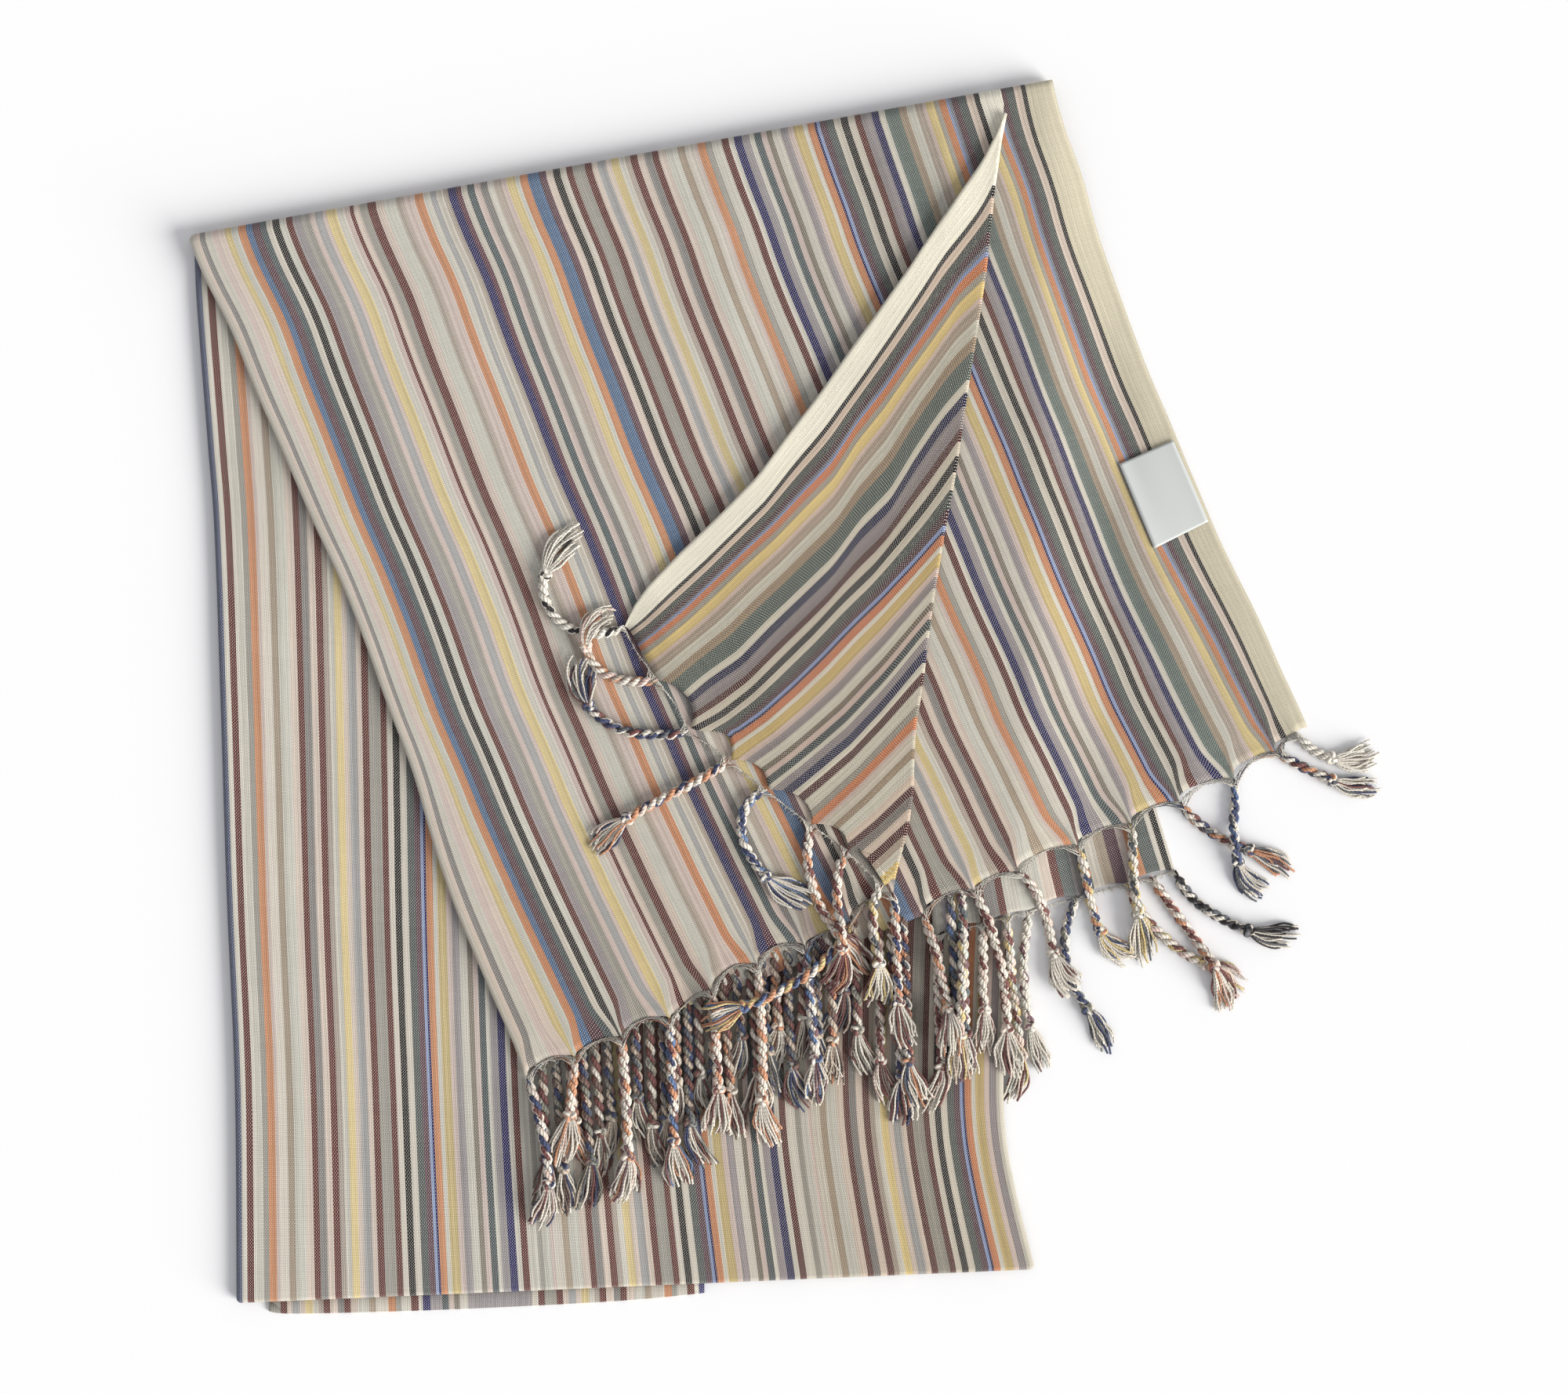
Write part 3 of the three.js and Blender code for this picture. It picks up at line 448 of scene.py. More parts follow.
def dyed(name):
    """The warp's own colour, which the pale weft lightens in the cloth."""
    seen, weft = linear(YARNS[name]), linear(WEFT)
    share = WEFT_SHARE * WEFT_SHADE
    return [max(0.01, (s - share * w) / (1 - WEFT_SHARE)) / GLARE for s, w in zip(seen, weft)]


def new_group(name, inputs, outputs):
    group = bpy.data.node_groups.new(name, "ShaderNodeTree")
    for label, kind in inputs:
        group.interface.new_socket(label, in_out="INPUT", socket_type=kind)
    for label, kind in outputs:
        group.interface.new_socket(label, in_out="OUTPUT", socket_type=kind)
    return group, group.nodes.new("NodeGroupInput"), group.nodes.new("NodeGroupOutput")


def maths(group, operation, *values):
    node = group.nodes.new("ShaderNodeMath")
    node.operation = operation
    for k, value in enumerate(values):
        if isinstance(value, (int, float)):
            node.inputs[k].default_value = value
        else:
            group.links.new(value, node.inputs[k])
    return node.outputs[0]


def ranged(group, value, low_end, reach):
    """A value from 0 to 1 as one that starts at low_end and goes reach further."""
    return maths(group, "ADD", low_end, maths(group, "MULTIPLY", value, reach))


def noise(group, vector, scale, detail=2.0):
    node = group.nodes.new("ShaderNodeTexNoise")
    node.inputs["Scale"].default_value = scale
    node.inputs["Detail"].default_value = detail
    group.links.new(vector, node.inputs["Vector"])
    return node.outputs["Fac"]


def mixed_colour(group, share, first, second, blend="MIX"):
    node = group.nodes.new("ShaderNodeMix")
    node.data_type = "RGBA"
    node.blend_type = blend
    for socket, value in ((node.inputs[0], share), (node.inputs[6], first), (node.inputs[7], second)):
        if isinstance(value, (int, float)):
            socket.default_value = value
        elif isinstance(value, (tuple, list)):
            socket.default_value = (*value, 1)
        else:
            group.links.new(value, socket)
    return node.outputs[2]


def grey_value(group, value):
    node = group.nodes.new("ShaderNodeCombineColor")
    for k in range(3):
        group.links.new(value, node.inputs[k])
    return node.outputs[0]


def thread_tones(group, number, axis):
    """One random tone for each thread, by its number."""
    ids = group.nodes.new("ShaderNodeCombineXYZ")
    group.links.new(number, ids.inputs[axis])
    tones = group.nodes.new("ShaderNodeTexWhiteNoise")
    tones.noise_dimensions = "3D"
    group.links.new(ids.outputs[0], tones.inputs["Vector"])
    return tones.outputs["Value"]


def shaded_colour(group, colour, light):
    return mixed_colour(group, 1.0, colour, grey_value(group, light), "MULTIPLY")


def make_weave():
    """A plain weave of a dyed warp and a pale weft, on a map in metres across and along the warp, with
    painted shade where the threads dip
    """
    group, start, end = new_group(
        "plain weave",
        [("Warp", "NodeSocketColor"), ("Map", "NodeSocketVector")],
        [("Colour", "NodeSocketColor"), ("Height", "NodeSocketFloat")])
    place = start.outputs["Map"]
    split = group.nodes.new("ShaderNodeSeparateXYZ")
    group.links.new(place, split.inputs[0])
    sway = maths(group, "MULTIPLY", maths(group, "SUBTRACT", noise(group, place, 60.0), 0.5), 1.2)
    warp, weft = (maths(group, "ADD", maths(group, "MULTIPLY", split.outputs[k], 1 / THREAD), sway)
                  for k in range(2))
    warp_number, weft_number = maths(group, "FLOOR", warp), maths(group, "FLOOR", weft)
    over = maths(group, "FLOORED_MODULO", maths(group, "ADD", warp_number, weft_number), 2.0)
    warp_arch, weft_arch = (
        maths(group, "SINE", maths(group, "MULTIPLY", maths(group, "FRACT", thread), math.pi))
        for thread in (warp, weft))
    # Where the warp is over, it fills its cell; the weft shows in the other cells, less their sides
    weft_seen = maths(group, "MULTIPLY", maths(group, "SUBTRACT", 1.0, over),
                      maths(group, "GREATER_THAN", warp_arch, WEFT_GAP))
    height = maths(group, "MULTIPLY", maths(group, "POWER", warp_arch, 0.5),
                   maths(group, "POWER", weft_arch, 0.5))
    warp_light = ranged(group, thread_tones(group, warp_number, 0), 0.84, 0.32)
    # Painted shade: where the weft shows it is dimmed to between WEFT_SHADE and 0.2 above it, at random per
    # thread
    weft_light = ranged(group, thread_tones(group, weft_number, 1), WEFT_SHADE, 0.2)
    slub_map = group.nodes.new("ShaderNodeMapping")
    slub_map.inputs["Scale"].default_value = (1200.0, 45.0, 1.0)
    group.links.new(place, slub_map.inputs["Vector"])
    slub = ranged(group, noise(group, slub_map.outputs[0], 1.0), 0.84, 0.32)
    cloud = ranged(group, noise(group, place, 14.0), 0.93, 0.14)
    warp_colour = shaded_colour(group, start.outputs["Warp"], maths(group, "MULTIPLY", warp_light, slub))
    weft_colour = shaded_colour(group, tuple(c / GLARE for c in linear(WEFT)), weft_light)
    cloth = mixed_colour(group, weft_seen, warp_colour, weft_colour)
    # Painted shade: darker where the threads dip between one another, times a faint random cloud of the
    # cloth's own tone
    gaps = ranged(group, height, 0.72, 0.4)
    shaded = shaded_colour(group, cloth, maths(group, "MULTIPLY", gaps, cloud))
    group.links.new(shaded, end.inputs["Colour"])
    group.links.new(height, end.inputs["Height"])
    return group


def make_spun():
    """Spun cotton: fibres along the yarn, from a map of turns round it and metres along it, with painted
    shade in the grooves between plies
    """
    group, start, end = new_group(
        "spun yarn",
        [("Dye", "NodeSocketColor"), ("Map", "NodeSocketVector"), ("Plies", "NodeSocketFloat"),
         ("Lay", "NodeSocketFloat")],
        [("Colour", "NodeSocketColor"), ("Height", "NodeSocketFloat")])
    split = group.nodes.new("ShaderNodeSeparateXYZ")
    group.links.new(start.outputs["Map"], split.inputs[0])
    turned = maths(group, "ADD", maths(group, "MULTIPLY", split.outputs[0], start.outputs["Plies"]),
                   maths(group, "MULTIPLY", split.outputs[1], start.outputs["Lay"]))
    ply = maths(group, "ABSOLUTE", maths(group, "SINE", maths(group, "MULTIPLY", turned, math.pi)))
    # Painted shade: darker in the grooves between plies; the flecks are the fibres' own random tone
    tone = ranged(group, ply, 0.62, 0.46)
    fleck = ranged(group, noise(group, start.outputs["Map"], 900.0), 0.82, 0.36)
    shaded = shaded_colour(group, start.outputs["Dye"], maths(group, "MULTIPLY", tone, fleck))
    group.links.new(shaded, end.inputs["Colour"])
    group.links.new(ply, end.inputs["Height"])
    return group


WEAVE = make_weave()
SPUN = make_spun()


def new_material(name, roughness, sheen=0.0):
    material = bpy.data.materials.new(name)
    material.use_nodes = True
    shader = material.node_tree.nodes["Principled BSDF"]
    shader.inputs["Roughness"].default_value = roughness
    shader.inputs["Specular IOR Level"].default_value = 0.25
    shader.inputs["Sheen Weight"].default_value = sheen
    return material, shader


def finish_surface(material, shader, effect, distance, strength):
    tree = material.node_tree
    tree.links.new(effect.outputs["Colour"], shader.inputs["Base Color"])
    bump = tree.nodes.new("ShaderNodeBump")
    bump.inputs["Distance"].default_value = distance
    bump.inputs["Strength"].default_value = strength
    tree.links.new(effect.outputs["Height"], bump.inputs["Height"])
    tree.links.new(bump.outputs["Normal"], shader.inputs["Normal"])


def threaded_material(name, roughness, sheen, effect_group, dye, thread_map, bump):
    """A finish that takes its dyes from a colour attribute and its threads from a UV map."""
    material, shader = new_material(name, roughness, sheen)
    tree = material.node_tree
    effect = tree.nodes.new("ShaderNodeGroup")
    effect.node_tree = effect_group
    dyes = tree.nodes.new("ShaderNodeAttribute")
    dyes.attribute_name = dye
    place = tree.nodes.new("ShaderNodeUVMap")
    place.uv_map = thread_map
    tree.links.new(dyes.outputs["Color"], effect.inputs[0])
    tree.links.new(place.outputs["UV"], effect.inputs["Map"])
    finish_surface(material, shader, effect, *bump)
    return material, effect


WOVEN_BUMP, SPUN_BUMP = (0.0003, 0.6), (0.0005, 0.7)
CLOTH_FINISH, _ = threaded_material(
    "striped cotton cloth", 0.92, 0.08, WEAVE, "warp_dye_and_shade", "threads", WOVEN_BUMP)
CORD_FINISH, spun = threaded_material(
    "twisted cotton cord", 0.9, 0.1, SPUN, "yarn_dye", "yarn", SPUN_BUMP)
spun.inputs["Plies"].default_value = 3.0
spun.inputs["Lay"].default_value = 420.0


# ---- Sheets ------------------------------------------------------------------------------------------
FOLD_STEPS = 7
# No point of a sheet or cord lies lower than this
LOWEST = 0.1


def add_piece(name, bm, finish, node, thickness=None):
    mesh = bpy.data.meshes.new(name)
    bm.to_mesh(mesh)
    bm.free()
    for polygon in mesh.polygons:
        polygon.use_smooth = True
    piece = bpy.data.objects.new(name, mesh)
    bpy.context.scene.collection.objects.link(piece)
    mesh.materials.append(finish)
    if thickness:
        wall = piece.modifiers.new("wall", "SOLIDIFY")
        wall.thickness = thickness * MM
        wall.offset = -1
    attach(piece, "root")
    if node:
        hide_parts(node)
    return piece


def border_stations(places, start_fold, end_fold):
    """Stations of a sheet: flat ones, and those that roll over a fold at either end.

    A fold is (radius, degrees turned) in millimetres; places and results are in units."""
    stations = []
    for side, fold, edge in ((-1, start_fold, places[0]), (1, end_fold, places[-1])):
        if side == 1:
            stations += [(place, 0.0, None) for place in places]
        if fold:
            steps = range(FOLD_STEPS, 0, -1) if side == -1 else range(1, FOLD_STEPS + 1)
            stations += [(edge, side * k / FOLD_STEPS, fold) for k in steps]
    return stations


def roll_over(across, down):
    """Sideways, downward and dropping travel of a border that rolls over, as (across, along, drop)."""
    x, y = abs(across[1]), abs(down[1])
    share = max(x, y)
    if share == 0:
        return 0.0, 0.0, 0.0
    slant = (math.pi / 4) * min(x, y) / share
    heading = slant if x >= y else math.pi / 2 - slant
    mix = math.sin(heading) ** 2
    first, second = across[2] or down[2], down[2] or across[2]
    radius = first[0] + (second[0] - first[0]) * mix
    angle = math.radians(first[1] + (second[1] - first[1]) * mix) * share
    return (math.copysign(radius * math.sin(angle) * math.cos(heading), across[1]),
            math.copysign(radius * math.sin(angle) * math.sin(heading), down[1]),
            radius * (1 - math.cos(angle)))


def woven_sheet(name, node, plan, top, across, yarns, down, thread_map, folds=(None, None, None, None),
                tone=None):
    """A sheet of cloth: plan(across, down) places it, top(x, y) lifts it and its borders roll over;
    tone(across, down), where given, paints shade into its dyes
    """
    left_fold, right_fold, top_fold, bottom_fold = folds
    columns = border_stations(across, left_fold, right_fold)
    rows = border_stations(down, top_fold, bottom_fold)
    yarns = [yarns[0]] * (FOLD_STEPS if left_fold else 0) + list(yarns)
    yarns += [yarns[-1]] * (FOLD_STEPS if right_fold else 0)
    bm = bmesh.new()
    bmesh.ops.create_grid(bm, x_segments=len(columns) - 1, y_segments=len(rows) - 1, size=0.5)
    spots = {}
    for vertex in bm.verts:
        i = round((vertex.co.x + 0.5) * (len(columns) - 1))
        j = round((0.5 - vertex.co.y) * (len(rows) - 1))
        spots[vertex.index] = (i, j)
        column, row = columns[i], rows[j]
        x, y, *rise = plan(column[0], row[0])
        z = top(x, y) + sum(rise)
        sideways, onward, drop = roll_over(column, row)
        if sideways or onward:
            step = 0.01 * (across[-1] - across[0])
            x1, y1 = plan(column[0] + step, row[0])[:2]
            x0, y0 = plan(column[0] - step, row[0])[:2]
            size = math.hypot(x1 - x0, y1 - y0) or 1.0
            ax, ay = (x1 - x0) / size, (y1 - y0) / size
            x += ax * sideways + ay * onward
            y += ay * sideways - ax * onward
        vertex.co = to_scene(x, y, max(z - drop, LOWEST))
    colour = bm.loops.layers.float_color.new("warp_dye_and_shade")
    threads = bm.loops.layers.uv.new("threads")
    for face in bm.faces:
        first = min(spots[v.index][0] for v in face.verts)
        dye = dyed(yarns[first])
        # Painted shade: the dye is raised to a power that darkens and warms it by the amount tone gives,
        # less on pale selvedge yarns
        if tone:
            middle = [spots[v.index] for v in face.verts]
            amount = tone(columns[middle[0][0]][0], rows[middle[0][1]][0])
            amount *= PALE_SHADE_SHARE if yarns[first] in ("selvedge", "selvedge_in_shade") else 1.0
            dye = [c ** (1 + amount * shade_power) for c, shade_power in zip(dye, PAINTED_SHADE_POWER)]
        dye = (*dye, 1.0)
        for loop in face.loops:
            i, j = spots[loop.vert.index]
            column, row = columns[i], rows[j]
            u, v = thread_map(column[0], row[0])
            u += column[1] * math.radians(column[2][1]) * column[2][0] * MM if column[2] else 0.0
            v += row[1] * math.radians(row[2][1]) * row[2][0] * MM if row[2] else 0.0
            loop[colour] = dye
            loop[threads].uv = (u, v)
    bm.normal_update()
    middle = [f for f in bm.faces if abs(f.normal.z) > 0.5]
    if sum(f.normal.z for f in middle[len(middle) // 3:len(middle) // 2]) < 0:
        bmesh.ops.reverse_faces(bm, faces=bm.faces[:])
    return add_piece(name, bm, CLOTH_FINISH, node, SHELL)


def shares(count):
    return [k / count for k in range(count + 1)]


# Folds at the borders of the sheets: radius in millimetres and degrees turned
TOP_FOLD = (FRONT_TOP / 2, 165)
SECOND_TOP_FOLD = (FRONT_TOP / 2 - CLOTH - SEAM, 160)
FRONT_SIDE_FOLD = (2.8, 140)
BACK_FOLD = (3.0, 115)
CORNER_FOLD = (2.05, 125)
# Painted shade, darker and warmer towards the lower right: how strongly it deepens each colour channel, the
# share of it that pale selvedge yarns take, and how much of it each sheet has
PAINTED_SHADE_POWER = (0.14, 0.16, 0.18)
PALE_SHADE_SHARE = 0.4
CORNER_PAINTED_SHADE, SECOND_PAINTED_SHADE = 2.5, 0.7
# The corner's selvedge edge lifts by this much, from this stripe on
CORNER_CURL, CURL_FROM = 4.0, 915
FRONT_ROOTS = [67.0 * k for k in range(9)]
FRONT_HEM_END = 536
# Scallops between the cords, in units, and how the cloth gathers towards each cord
FRONT_SCALLOP = (12, 9, 13, 10, 12, 14, 9, 12)
GATHERED, GATHER, PUCKER = 46, 0.13, 0.7
SECOND_ROOTS = [561, 634, 696, 782, 859, 928, 1007, 1069, 1103]
CORNER_ROOTS = [536, 590, 652, 715, 776, 834, 915, 1046]
CORNER_SCALLOP = (9, 8, 10, 9, 12, 9, 3)
SECOND_SCALLOP = (11, 8, 11, 9, 10, 11, 9, 5)
THIRD_SCALLOP = (3.2, 2.4, 3.4, 2.8, 3.0)


def scallop(place, roots, depths):
    """How far a hem is drawn in between two cords."""
    for left, right, depth in zip(roots, roots[1:], depths):
        if left <= place <= right:
            return depth * math.sin(math.pi * (place - left) / (right - left)) ** 0.7
    return 0.0


def gather(place, roots, near):
    """How far a thread near the hem leans towards the nearest cord, and how far it rises there."""
    for left, right in zip(roots, roots[1:]):
        if left <= place <= right:
            turn = 2 * math.pi * (place - left) / (right - left)
            return -near * math.sin(turn) * (right - left) * GATHER, near * PUCKER * math.cos(turn)
    return 0.0, 0.0


def front_end(across):
    moved = front_across(across, 1000)
    if moved <= FRONT_HEM_END:
        return along_table(FLAP_HEM, moved) - scallop(moved, FRONT_ROOTS, FRONT_SCALLOP)
    return along_table(DIAGONAL, across) - 7


def front_plan(across, share):
    top_edge = TOP_FOLD[0] / UNIT
    end = max(front_end(across), top_edge + 4)
    down = top_edge + share * (end - top_edge)
    moved = front_across(across, down)
    near = smoothstep(down, end - GATHERED, end) if moved <= FRONT_HEM_END else 0.0
    lean, rise = gather(moved, FRONT_ROOTS, near)
    return (*flap_point(moved + lean, down), rise)


def second_end(across):
    moved = second_across(across, 940)
    return along_table(SECOND_HEM, moved) - scallop(moved, SECOND_ROOTS, SECOND_SCALLOP)


def second_plan(across, share):
    top_edge = SECOND_TOP_FOLD[0] / UNIT
    end = second_end(across)
    down = top_edge + share * (end - top_edge)
    moved = second_across(across, down)
    lean, rise = gather(moved, SECOND_ROOTS, smoothstep(down, end - GATHERED, end))
    return (*flap_point(moved + lean, down), max(rise, -0.2))


def thread_map_down(end):
    return lambda across, share: (across * UNIT * MM, share * end(across) * UNIT * MM)


def front_painted_shade(place, share):
    """Painted shade: darker and warmer beside the diagonal fold and towards the hem."""
    return 0.7 * smoothstep(place, 620, 900) + 0.8 * smoothstep(share, 0.55, 1)


def make_front_flap():
    left = FRONT_SIDE_FOLD[0] / UNIT
    across, yarns = stripe_columns(FLAP_STRIPES, left, 1040.0)
    return woven_sheet("front_flap_cloth", "front_flap", front_plan, front_height, across, yarns,
                       shares(110), thread_map_down(front_end), (FRONT_SIDE_FOLD, None, TOP_FOLD, None),
                       front_painted_shade)


def make_second_flap():
    across, yarns = stripe_columns(FLAP_STRIPES, 6.0, SELVEDGE)
    # Its selvedge is drawn in a darker beige yarn, as painted shade
    yarns = ["selvedge_in_shade" if yarn == "selvedge" else yarn for yarn in yarns]
    # The second flap's dyes take an even painted shade all over
    return woven_sheet("second_flap_cloth", "second_flap", second_plan, second_height, across, yarns,
                       shares(100), thread_map_down(second_end), (None, None, SECOND_TOP_FOLD, None),
                       lambda place, share: SECOND_PAINTED_SHADE)


def make_turned_corner():
    across, yarns = stripe_columns(FLAP_STRIPES, 537.0, SELVEDGE)

    def plan(place, share):
        x, y = corner_point(place, share)
        x1, y1 = corner_point(place, share + 0.02 if share < 0.5 else share - 0.02)
        size = math.hypot(x1 - x, y1 - y) or 1.0
        inward = scallop(place, CORNER_ROOTS, CORNER_SCALLOP) * (1 - smoothstep(share, 0, 0.14))
        curl = CORNER_CURL * smoothstep(place, CURL_FROM, SELVEDGE) * smoothstep(share, 0, 0.3)
        curl *= 1 - 0.65 * smoothstep(share, 0.8, 1)
        return (x + (x1 - x) / size * inward, y + (y1 - y) / size * inward, curl)

    def threads(place, share):
        k = CORNER_ORDER.index(min(CORNER_ORDER, key=lambda key: abs(key - place)))
        length = float(np.sum(np.linalg.norm(np.diff(CORNER_LINES[k], axis=0), axis=1)))
        return place * UNIT * MM, share * length * UNIT * MM

    # The turned corner's dyes take a deep even painted shade all over, less on its pale selvedge
    return woven_sheet("turned_corner_cloth", "turned_corner", plan, corner_height, across, yarns,
                       shares(56), threads, (None, None, None, CORNER_FOLD),
                       lambda place, share: CORNER_PAINTED_SHADE)


# The back panel's folds, its middle black stripe, and from where its repeats have one orange stripe less
BACK_LEFT, BACK_RIGHT_EDGE, BACK_BLACK, BACK_PLAIN = 298.0, 1320.0, 878.0, 600.0
# It starts this far down its rows and stops just short of their end
BACK_START, BACK_STOP = 0.06, 0.9955
BACK_LENGTH = 0.66


# Painted shade: darker and warmer towards the back panel's right side
def back_painted_shade(place, share):
    return 1.4 * smoothstep(place, 750, 1100)


def make_back_panel():
    patch = Patch(BACK_ROWS)
    stripes = repeat_stripes(BACK_BLACK, BACK_SCALE, BACK_LEFT, BACK_RIGHT_EDGE, BACK_PLAIN)
    stripes[0] = (stripes[0][0], stripes[0][1], "ink")
    inset = BACK_FOLD[0] / UNIT
    across, yarns = stripe_columns(stripes, BACK_LEFT + inset, BACK_RIGHT_EDGE - inset)
    span = BACK_RIGHT_EDGE - BACK_LEFT

    def plan(place, share):
        return patch.at((place - BACK_LEFT) / span, BACK_START + share * (BACK_STOP - BACK_START))

    def threads(place, share):
        return place * UNIT * MM, share * BACK_LENGTH

    return woven_sheet("back_panel_cloth", "back_panel", plan, back_height, across, yarns, shares(90),
                       threads, (BACK_FOLD, BACK_FOLD, None, BACK_FOLD), back_painted_shade)


def make_third_flap():
    patch = Patch(THIRD_ROWS)
    stripes = read_chart(THIRD_CHART)
    width = stripes[-1][1]
    roots = [width * k / len(THIRD_SCALLOP) for k in range(len(THIRD_SCALLOP) + 1)]
    across, yarns = stripe_columns(stripes, 0.0, width)

    def plan(place, share):
        x, y = patch.at(place / width, share)
        return x, y + scallop(place, roots, THIRD_SCALLOP) * smoothstep(share, 0.5, 1)

    return woven_sheet("third_flap_cloth", "third_flap", plan, third_height, across, yarns, shares(14),
                       lambda place, share: (place * 1.05 * UNIT * MM, share * 0.055))


# ---- The layers inside -------------------------------------------------------------------------------
def ring_outline(patch, steps, top_margin):
    """The border of a patch, anticlockwise, drawn in by an inset."""
    def outline(inset):
        side = inset / patch.width(0.5)
        upper = (inset + top_margin) / patch.length(0.5)
        lower = 1 - inset / patch.length(0.5)
        points = [patch.at(side, upper + (lower - upper) * k / steps) for k in range(steps)]
        points += [patch.at(side + (1 - 2 * side) * k / steps, lower) for k in range(steps)]
        points += [patch.at(1 - side, lower + (upper - lower) * k / steps) for k in range(steps)]
        return points + [patch.at(1 - side + (2 * side - 1) * k / steps, upper) for k in range(steps)]
    return outline


def layer_profile(bottom, layers, inset):
    """Rounded fold edges one above another: (height, inset) from the bottom up."""
    profile = []
    for thickness, extra in layers:
        for k in range(7):
            turn = math.pi * k / 6
            profile.append((bottom + thickness * (1 - math.cos(turn)) / 2,
                            inset + extra + 0.5 * thickness * (1 - math.sin(turn))))
        bottom += thickness
    return profile


def stacked_ring(bm, outline, profile):
    """Grows a closed solid of layers from a circle, by extruding its rim up a profile."""
    size = len(outline(0))
    made = bmesh.ops.create_circle(bm, cap_ends=True, segments=size, radius=1)
    rim = list(made["verts"])
    face = next(iter(rim[0].link_faces))
    ordered = [loop.vert for loop in face.loops]
    first = outline(profile[0][1])
    for vertex, (x, y) in zip(ordered, first):
        vertex.co = to_scene(x, y, profile[0][0])
    for z, inset in profile[1:]:
        grown = bmesh.ops.extrude_face_region(bm, geom=[face])
        old = face
        face = next(item for item in grown["geom"] if isinstance(item, bmesh.types.BMFace))
        if z != profile[1][0] or inset != profile[1][1]:
            bmesh.ops.delete(bm, geom=[old], context="FACES_ONLY")
        target = outline(inset)
        for loop, (x, y) in zip(face.loops, target):
            loop.vert.co = to_scene(x, y, z)


# ---- Label -------------------------------------------------------------------------------------------
# The label's two tones: the tape's own pale grey, darkened as painted shade, and deeper still in the rib
# grooves
LABEL_GREY_AND_RIB_SHADE = ((178, 181, 178), (204, 207, 203))
LABEL_SIZE = (0.037, 0.056)
LABEL_LIFT = 1.2


def make_label_finish():
    material, shader = new_material("blank satin tape", 0.45, 0.15)
    tree = material.node_tree
    place = tree.nodes.new("ShaderNodeUVMap")
    place.uv_map = "threads"
    rib = tree.nodes.new("ShaderNodeTexWave")
    rib.bands_direction = "X"
    rib.inputs["Scale"].default_value = 420.0
    tree.links.new(place.outputs["UV"], rib.inputs["Vector"])
    # Painted shade: the ribs' darker tone falls where the rib is low
    tone = tree.nodes.new("ShaderNodeMix")
    tone.data_type = "RGBA"
    for socket, colour in zip(tone.inputs[6:8], LABEL_GREY_AND_RIB_SHADE):
        socket.default_value = (*linear(colour), 1)
    tree.links.new(rib.outputs["Fac"], tone.inputs[0])
    tree.links.new(tone.outputs[2], shader.inputs["Base Color"])
    bump = tree.nodes.new("ShaderNodeBump")
    bump.inputs["Distance"].default_value = 0.0001
    bump.inputs["Strength"].default_value = 0.4
    tree.links.new(rib.outputs["Fac"], bump.inputs["Height"])
    tree.links.new(bump.outputs["Normal"], shader.inputs["Normal"])
    return material


def make_label():
    patch = Patch(LABEL_ROWS)
    bm = bmesh.new()
    bmesh.ops.create_grid(bm, x_segments=16, y_segments=20, size=0.5)
    threads = bm.loops.layers.uv.new("threads")
    for vertex in bm.verts:
        u, v = vertex.co.x + 0.5, 0.5 - vertex.co.y
        x, y = patch.at(u, v)
        bow = 0.6 * math.sin(math.pi * v) + 0.4 * math.sin(math.pi * u)
        for loop in vertex.link_loops:
            loop[threads].uv = (u * LABEL_SIZE[0], v * LABEL_SIZE[1])
        vertex.co = to_scene(x, y, second_height(x, y) + SEAM + LABEL_LIFT + bow)
    bm.normal_update()
    if sum(f.normal.z for f in bm.faces) < 0:
        bmesh.ops.reverse_faces(bm, faces=bm.faces[:])
    return add_piece("side_label", bm, make_label_finish(), "label", 0.6)


# ---- Fringe ------------------------------------------------------------------------------------------
# A ply's radius and the pitch of its twist, the rings that keep one dye, and the steps of a cord's route
PLY = 1.75
TWIST = 12.5
DYE_RINGS = 3
STEP = 2.0
ANY_TURN = (0, 6.28)
# Where a cord looks for the cloth under it
AROUND = ((0, 0), (2.5, 0), (-2.5, 0), (0, 2.5), (0, -2.5))
# Each cord: its root on the hem, its lie at the root, midway and at the tuft in degrees from straight
# down and positive to the right, its length, and the yarns of its two plies
FRONT_CORDS = [
    (0 / 8, (16, 8, -18), 98, "navy cream navy", "maroon cream blush"),
    (1 / 8, (-3, -4, 18), 66, "orange cream orange", "cream blush orange"),
    (2 / 8, (6, 2, 4), 104, "cream blush cream", "plum orange cream"),
    (3 / 8, (2, 2, 2), 106, "navy cream blue", "orange cream maroon"),
    (4 / 8, (4, 3, 0), 92, "cream orange cream", "maroon blush cream"),
    (5 / 8, (5, 1, -3), 114, "orange cream orange", "cream cream blush"),
    (6 / 8, (6, 5, 4), 100, "navy blue cream", "cream plum cream"),
    (8 / 8, (4, 2, 4), 98, "cream navy cream", "maroon cream orange"),
    (7 / 8, (-25, -62, -70), 115, "orange yellow orange", "navy blue cream"),
]
